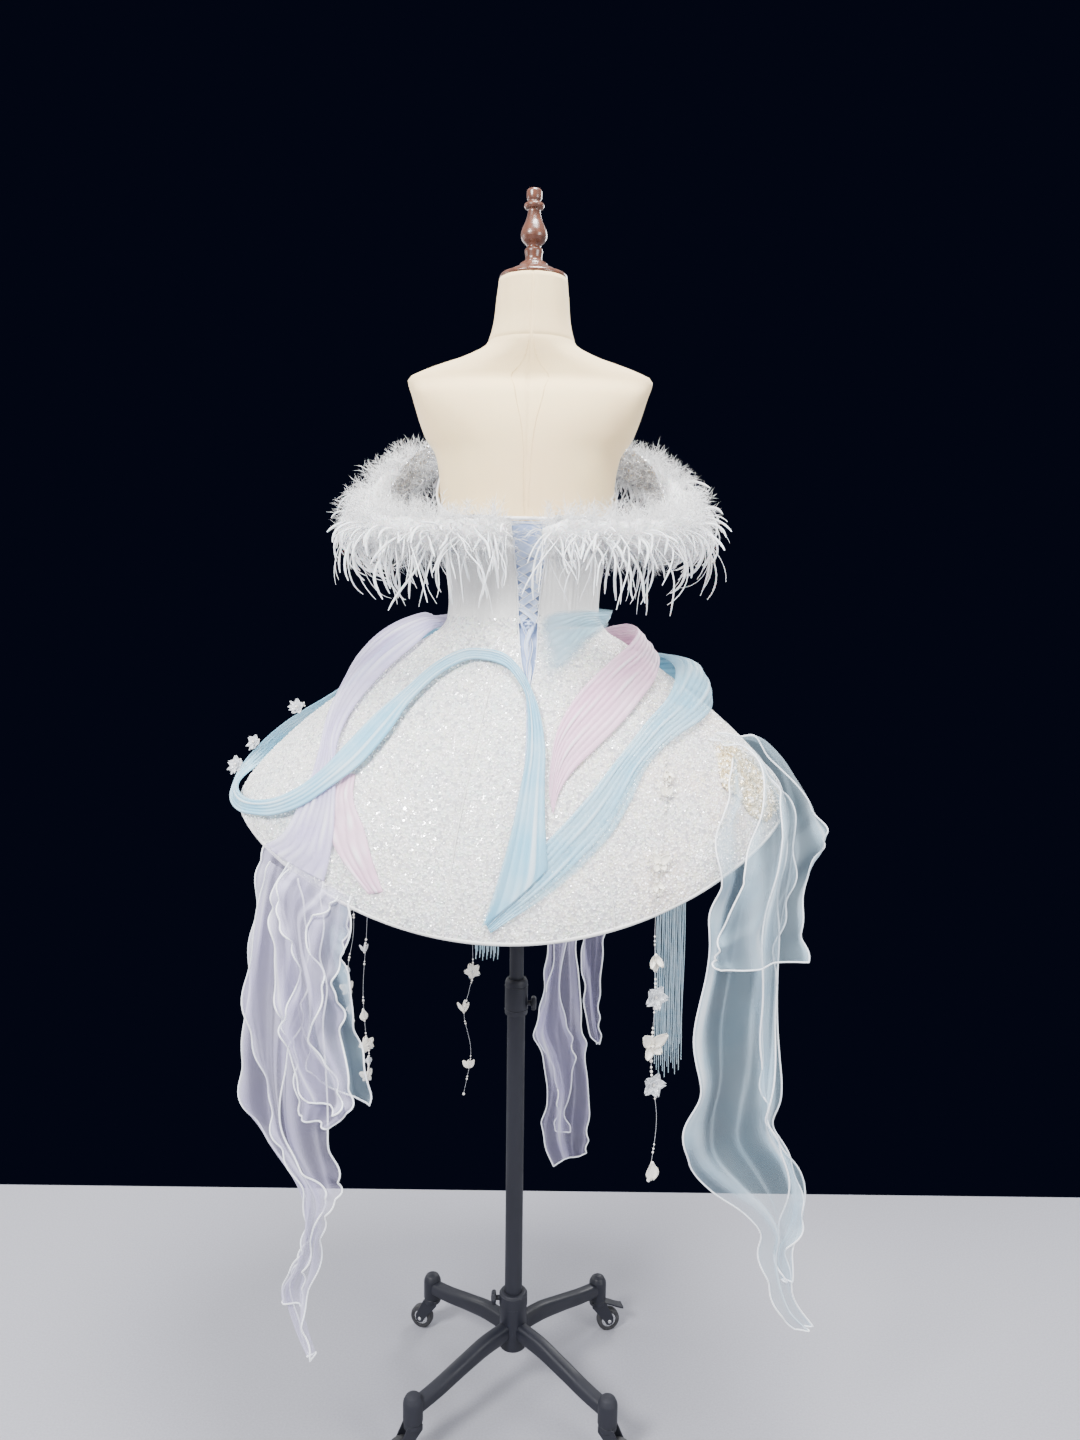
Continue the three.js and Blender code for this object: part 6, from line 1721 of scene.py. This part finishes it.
class DRESS_OT_loop_flowers(bpy.types.Operator):
    """Makes the small clear flowers on the left swag"""

    bl_idname = "dress.loop_flowers"
    bl_label = "Loop flowers"

    FLOWERS = [[-97, 0.58, 19.6, 13], [-95, 0.8, 25.4, 12], [-92, 0.91, 22.3, 14]]

    def execute(self, context):
        for i, (phi, s, lift, r) in enumerate(self.FLOWERS):
            rng = random.Random(120 + i)
            root, tip = dress(phi, s, lift), dress(phi, s, lift + 8)
            bag = Bag()
            tube(bag, np.linspace(root, tip, 5), 0.0008, 6, 2)
            face = unit(np.array([-0.35, -0.9, 0.25]))
            charm(bag, tip, face, "open", r * MM, 0, rng.uniform(0, 1))
            charm(bag, tip + face * 0.002, face, "leaves", r * MM, 0, rng.uniform(1, 4))
            bead(bag, tip + face * 0.004, 0.0022, 1)
            for _ in range(3):
                away = np.array([rng.uniform(-1, 1), rng.uniform(-0.4, 0.1), rng.uniform(-1, 1)])
                bead(bag, tip + away * r * MM * 0.9, 0.0016, 1)
            used = [finish(each) for each in ("Clear petal", "Pearl", "White cord")]
            obj = bag.make("loop_flower_petals_%d" % (i + 1), used)
            settle(obj, "form", "petal", "loop_flower_%d" % (i + 1))
        return {"FINISHED"}


class DRESS_OT_applique(bpy.types.Operator):
    """Makes the beaded applique on the right of the skirt"""

    bl_idname = "dress.applique"
    bl_label = "Applique"

    TABLE = [[62, 0.575, 3, 68, 0.58, 3], [58, 0.63, 3, 74, 0.64, 3], [54.5, 0.7, 3, 76, 0.72, 3],
             [57, 0.77, 3, 77, 0.8, 3], [58, 0.86, 3, 77.5, 0.88, 3], [62, 0.93, 3, 76, 0.945, 3]]

    def execute(self, context):
        u, v = grid(60, 40)
        a, b, _ = strip_lines(self.TABLE, u)
        edge = np.minimum(np.minimum(u, 1 - u) * 4, np.minimum(v, 1 - v) * 4)
        lace = 0.5 * np.sin(u * 60) * np.sin(v * 40)
        lift = mix(a[..., 2], b[..., 2], v) - 1.6 + 1.4 * np.clip(edge, 0, 1) + lace * 0.5
        phi, s = mix(a[..., 0], b[..., 0], v), mix(a[..., 1], b[..., 1], v)
        outer = dress(phi, s, lift)
        obj = shell(Bag(), outer, dress(phi, s, 1.0)).make("applique_lace", finish("Champagne beading"))
        settle(obj, "form", "champagne", "applique")
        state_cut(outer)
        for name, density, size, material, seed in (
                ("applique_beads", 60000.0, 0.0024, "Champagne beading", 5),
                ("applique_pearls", 9000.0, 0.0032, "Pearl", 9)):
            bag = shell(Bag(), outer, dress(phi, s, 1.0))
            chosen = np.repeat([1.0, 0.0], u.size)
            made = scattered(name, bag, "bead", finish(material), chosen, Density=density, Size=size,
                             Size_change=0.35, Tilt=0.2, Seed=seed)
            settle(made, "form", "champagne")
        return {"FINISHED"}


class DRESS_OT_tassels(bpy.types.Operator):
    """Makes the two string tassels under the hem"""

    bl_idname = "dress.tassels"
    bl_label = "Tassels"

    TASSELS = {"tassel_centre": (-176, -169.5, 10, 1.5, 1.58), "tassel_right": (134, 142.5, 12, 2.0, 2.2)}

    def execute(self, context):
        for name, (start, end, strings, short, long) in self.TASSELS.items():
            bag = Bag()
            u, v = grid(8, 3)
            laid(bag, mix(start - 0.6, end + 0.6, u), mix(0.955, 0.99, v), np.full_like(u, 3.0), 2.6)
            count = strings * 3
            rng = random.Random(len(name))
            for i in range(count):
                phi = mix(start, end, (i + 0.5) / count)
                last = short + (long - short) * ((i * 0.618) % 1)
                s = np.linspace(0.97, last, 26)
                sway = 0.22 * np.sin(s * 7 + i * 2.4) * smooth(1.0, 1.4, s)
                lift = 1.9 + 1.6 * smooth(0.97, 1.05, s) + rng.uniform(-1, 1) * smooth(1, 1.2, s)
                tube(bag, dress(phi + sway, s, lift), 0.00075, 5)
            settle(bag.make(name + "_strings", finish("Tassel string")), "form", "string", name)
        return {"FINISHED"}


class DRESS_OT_stand(bpy.types.Operator):
    """Makes the pole, its collar and knobs, the four-legged base and the casters"""

    bl_idname = "dress.stand"
    bl_label = "Stand"

    LEG = named(["r", "z", "half"], [
        [10, 110, 14], [55, 108, 14], [110, 98, 12.5], [165, 86, 11.5], [LEG_END, 80, 10.5]])
    LEVER = [(8, 53.6, 8.5), (16, 52.6, 8.5), (24, 49.4, 8.2), (34, 44.4, 8.2), (44, 40.6, 8.6),
             (46.4, 40.8, 8.2)]

    def execute(self, context):
        self.pole()
        self.base()
        for name, turn, swivel in CORNERS:
            self.caster(name, turn, swivel)
        return {"FINISHED"}

    def pole(self):
        coat = finish("Powder coat")
        t = TUBE
        upper = rounded([(0, 430), (t["pole"], 430), (t["pole"], 1111.7), (0, 1111.7)], 0.8)
        upper = turned(Bag(), upper, sides=48).make("mast_upper_tube", coat, 40)
        settle(upper, "mast", "powder", "mast_upper")
        bore = t["pole"] + 0.4
        lower = [(0, t["bottom"] + 0.3), (t["outer"], t["bottom"] + 0.3), (t["outer"], t["collar"]),
                 (t["collar_r"] - 0.8, t["collar"] + 0.8), (t["collar_r"], t["collar"] + 3),
                 (t["collar_r"], t["top"] - 6), (t["collar_r"] - 1, t["top"] - 3.6),
                 (t["outer"] + 1.5, t["top"] - 0.6), (t["outer"] + 0.6, t["top"]), (bore, t["top"]),
                 (bore, t["top"] - 20), (bore, 340), (0, 340)]
        bag = turned(Bag(), lower, sides=48)
        for z in (t["collar"] + 9, t["top"] - 12):
            low, high = t["collar_r"] - 0.2, t["collar_r"] + 0.7
            turned(bag, [(low, z - 1.2), (high, z), (low, z + 1.2)], sides=48)
        settle(bag.make("mast_lower_tube", coat, 40), "base", "powder", "mast_lower")
        self.knob("clamp_knob_pole", 1, [t["collar_r"] * math.cos(math.pi / 16) + SEAM_GAP, 0, 658])
        self.knob("clamp_knob_hub", -1, [-22 - SEAM_GAP, 0, 160])

    def knob(self, node, way, at):
        """A star knob: a round grip with flutes, on a short neck."""
        bag = Bag()
        turn = Quaternion((0, 1, 0), way * math.pi / 2)
        turned(bag, [(0, 0), (4, 0), (4, 6), (0, 6)], at, 24, turn=turn)
        steps = 60
        rings = []
        for r, z in [(6, 5.6), (10, 6), (11.4, 7.4), (11.6, 10), (10.6, 12.4), (8, 13.6), (0.4, 14)]:
            w = 2 * np.pi * np.arange(steps) / steps
            grip = r * (1 - 0.10 * (r / 11.6) ** 4 * (0.5 + 0.5 * np.cos(6 * w)))
            rings.append(np.stack([grip * np.cos(w), grip * np.sin(w), np.full(steps, z)], -1))
        points = np.array([turn @ Vector(p) for p in np.vstack(rings)])
        lofted(bag, (points + np.array(at)) * MM, steps)
        settle(bag.make(node + "_grip", finish("Powder coat"), 35), "base", "powder", node)

    def base(self):
        bag = Bag()
        hub = rounded([(0, 77), (19, 77), (22, 79.5), (22, 170), (20, 173), (14.3, 173), (14.3, 172),
                       (0, 172)], 1.2)
        turned(bag, hub, sides=56)
        turned(bag, [(21.6, 150), (22.8, 151), (22.8, 169), (21.6, 170)], sides=56)
        for _, angle, _ in CORNERS:
            turn = Quaternion((0, 0, 1), math.radians(angle))
            rings, sides = 40, 24
            r = np.linspace(10, LEG_END, rings)
            z, half = column(self.LEG, "r", "z", r), column(self.LEG, "r", "half", r)
            w = 2 * np.pi * (np.arange(sides) + 0.5) / sides
            c, s = np.cos(w), np.sin(w)
            ring_y = 11.0 * np.sign(c) * np.abs(c) ** 0.62
            ring_z = np.sign(s) * np.abs(s) ** 0.62
            points = np.stack([np.repeat(r, sides), np.tile(ring_y, rings),
                               np.repeat(z, sides) + np.repeat(half, sides) * np.tile(ring_z, rings)], -1)
            lofted(bag, np.array([turn @ Vector(p) for p in points]) * MM, sides)
            post = rounded([(0, 60), (14, 60), (15, 61), (15, 90), (14.4, 94), (11, 101), (5, 104.4),
                            (0, 105)], 1.5)
            turned(bag, post, list(turn @ Vector((LEG_END, 0, 0))), 40)
        settle(bag.make("base_casting", finish("Powder coat"), 45), "base", "powder", "base")

    def caster(self, name, angle, swivel):
        turn = Quaternion((0, 0, 1), math.radians(swivel))
        at = Vector((LEG_END * math.cos(math.radians(angle)), LEG_END * math.sin(math.radians(angle)), 0))
        bag = Bag()
        stem = rounded([(0, 51), (13, 51), (14, 52), (14, 58.6), (13, 59.7), (4, 59.7), (4, 76),
                        (0, 76)], 0.8)
        turned(bag, stem, list(at), 36)
        trail, r = WHEEL["trail"], WHEEL["r"]
        outline = [(-12, 58), (12, 58), (trail + 7.5, 27), (trail + 7.5, 19), (trail + 5.4, 14.6),
                   (trail, 12.6), (trail - 5.4, 14.6), (trail - 8, 20), (-12, 50)]
        for y in (WHEEL["width"] / 2 + 2.2, -WHEEL["width"] / 2 - 2.2):
            cheek = []
            middle = np.mean(outline, axis=0)
            for inset, dy in ((0.8, -1.25), (0, -0.6), (0, 0.6), (0.8, 1.25)):
                for corner in outline:
                    away = np.array(corner) - middle
                    x, z = middle + away * (1 - inset / np.linalg.norm(away))
                    cheek.append((x, y + dy, z))
            lofted(bag, np.array([turn @ Vector(p) + at for p in cheek]) * MM, len(outline))
        axle = turn @ Quaternion((1, 0, 0), math.pi / 2)
        centre = turn @ Vector((trail, 0, r)) + at
        half = WHEEL["width"] / 2 + 4.5
        pin = rounded([(0, -half), (3, -half), (3.4, -half + 0.8), (3.4, half - 0.8), (3, half),
                       (0, half)], 0.4)
        turned(bag, pin, list(centre), 20, 1, axle)
        if name == "far_right":
            self.lever(bag, turn, at)
        used = [finish("Powder coat"), finish("Bright metal")]
        fork = bag.make("caster_fork_" + name + "_bracket", used, 40)
        settle(fork, "fork_" + name, "powder", "caster_fork_" + name)
        wheel = Bag()
        tyre = rounded([(12.6, -6.8), (17, -7.4), (19.2, -6.4), (r, -4), (r, 4), (19.2, 6.4), (17, 7.4),
                        (12.6, 6.8), (12.6, -6.8)], 0.8)[:-1]
        turned(wheel, tyre, list(centre), 48, 0, axle)
        disc = rounded([(3.6, -7), (6, -7), (6.6, -5.4), (12.8, -5.8), (12.8, 5.8), (6.6, 5.4), (6, 7),
                        (3.6, 7), (3.6, -7)], 0.5)[:-1]
        turned(wheel, disc, list(centre), 48, 1, axle)
        used = [finish("Wheel black"), finish("Bright metal")]
        obj = wheel.make("caster_wheel_" + name + "_tyre", used, 40)
        settle(obj, "wheel_" + name, "wheel", "caster_wheel_" + name)

    def lever(self, bag, turn, at):
        """The foot lever of the brake."""
        tread = [(x, dy * w, z + dz) for x, z, w in self.LEVER
                 for dy, dz in ((-1, -1.5), (1, -1.5), (1, 1.5), (-1, 1.5))]
        lofted(bag, np.array([turn @ Vector(p) + at for p in tread]) * MM, 4)


class DRESS_PT_panel(bpy.types.Panel):
    bl_idname = "DRESS_PT_panel"
    bl_label = "Laced mini dress"
    bl_space_type = "VIEW_3D"
    bl_region_type = "UI"
    bl_category = "Dress"

    def draw(self, context):
        for group in (context.scene.dress_sizes, context.scene.dress_colours):
            box = self.layout.box()
            for key in group.bl_rna.properties.keys():
                if key not in ("rna_type", "name"):
                    box.prop(group, key)
        for operator in OPERATORS:
            self.layout.operator(operator.bl_idname)


OPERATORS = (DRESS_OT_stage, DRESS_OT_form, DRESS_OT_bodice, DRESS_OT_lacing, DRESS_OT_skirt,
             DRESS_OT_sleeves, DRESS_OT_feathers, DRESS_OT_swags, DRESS_OT_streamers, DRESS_OT_applique,
             DRESS_OT_strands, DRESS_OT_loop_flowers, DRESS_OT_tassels, DRESS_OT_stand)
CLASSES = (DressSizes, DressColours, *OPERATORS, DRESS_PT_panel)


def register():
    for cls in CLASSES:
        bpy.utils.register_class(cls)
    bpy.types.Scene.dress_sizes = bpy.props.PointerProperty(type=DressSizes)
    bpy.types.Scene.dress_colours = bpy.props.PointerProperty(type=DressColours)


def unregister():
    del bpy.types.Scene.dress_sizes
    del bpy.types.Scene.dress_colours
    for cls in reversed(CLASSES):
        bpy.utils.unregister_class(cls)


def main():
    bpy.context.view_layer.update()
    register()
    for operator in OPERATORS:
        getattr(bpy.ops.dress, operator.bl_idname.split(".")[1])()
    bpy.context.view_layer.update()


if __name__ == "__main__":
    main()
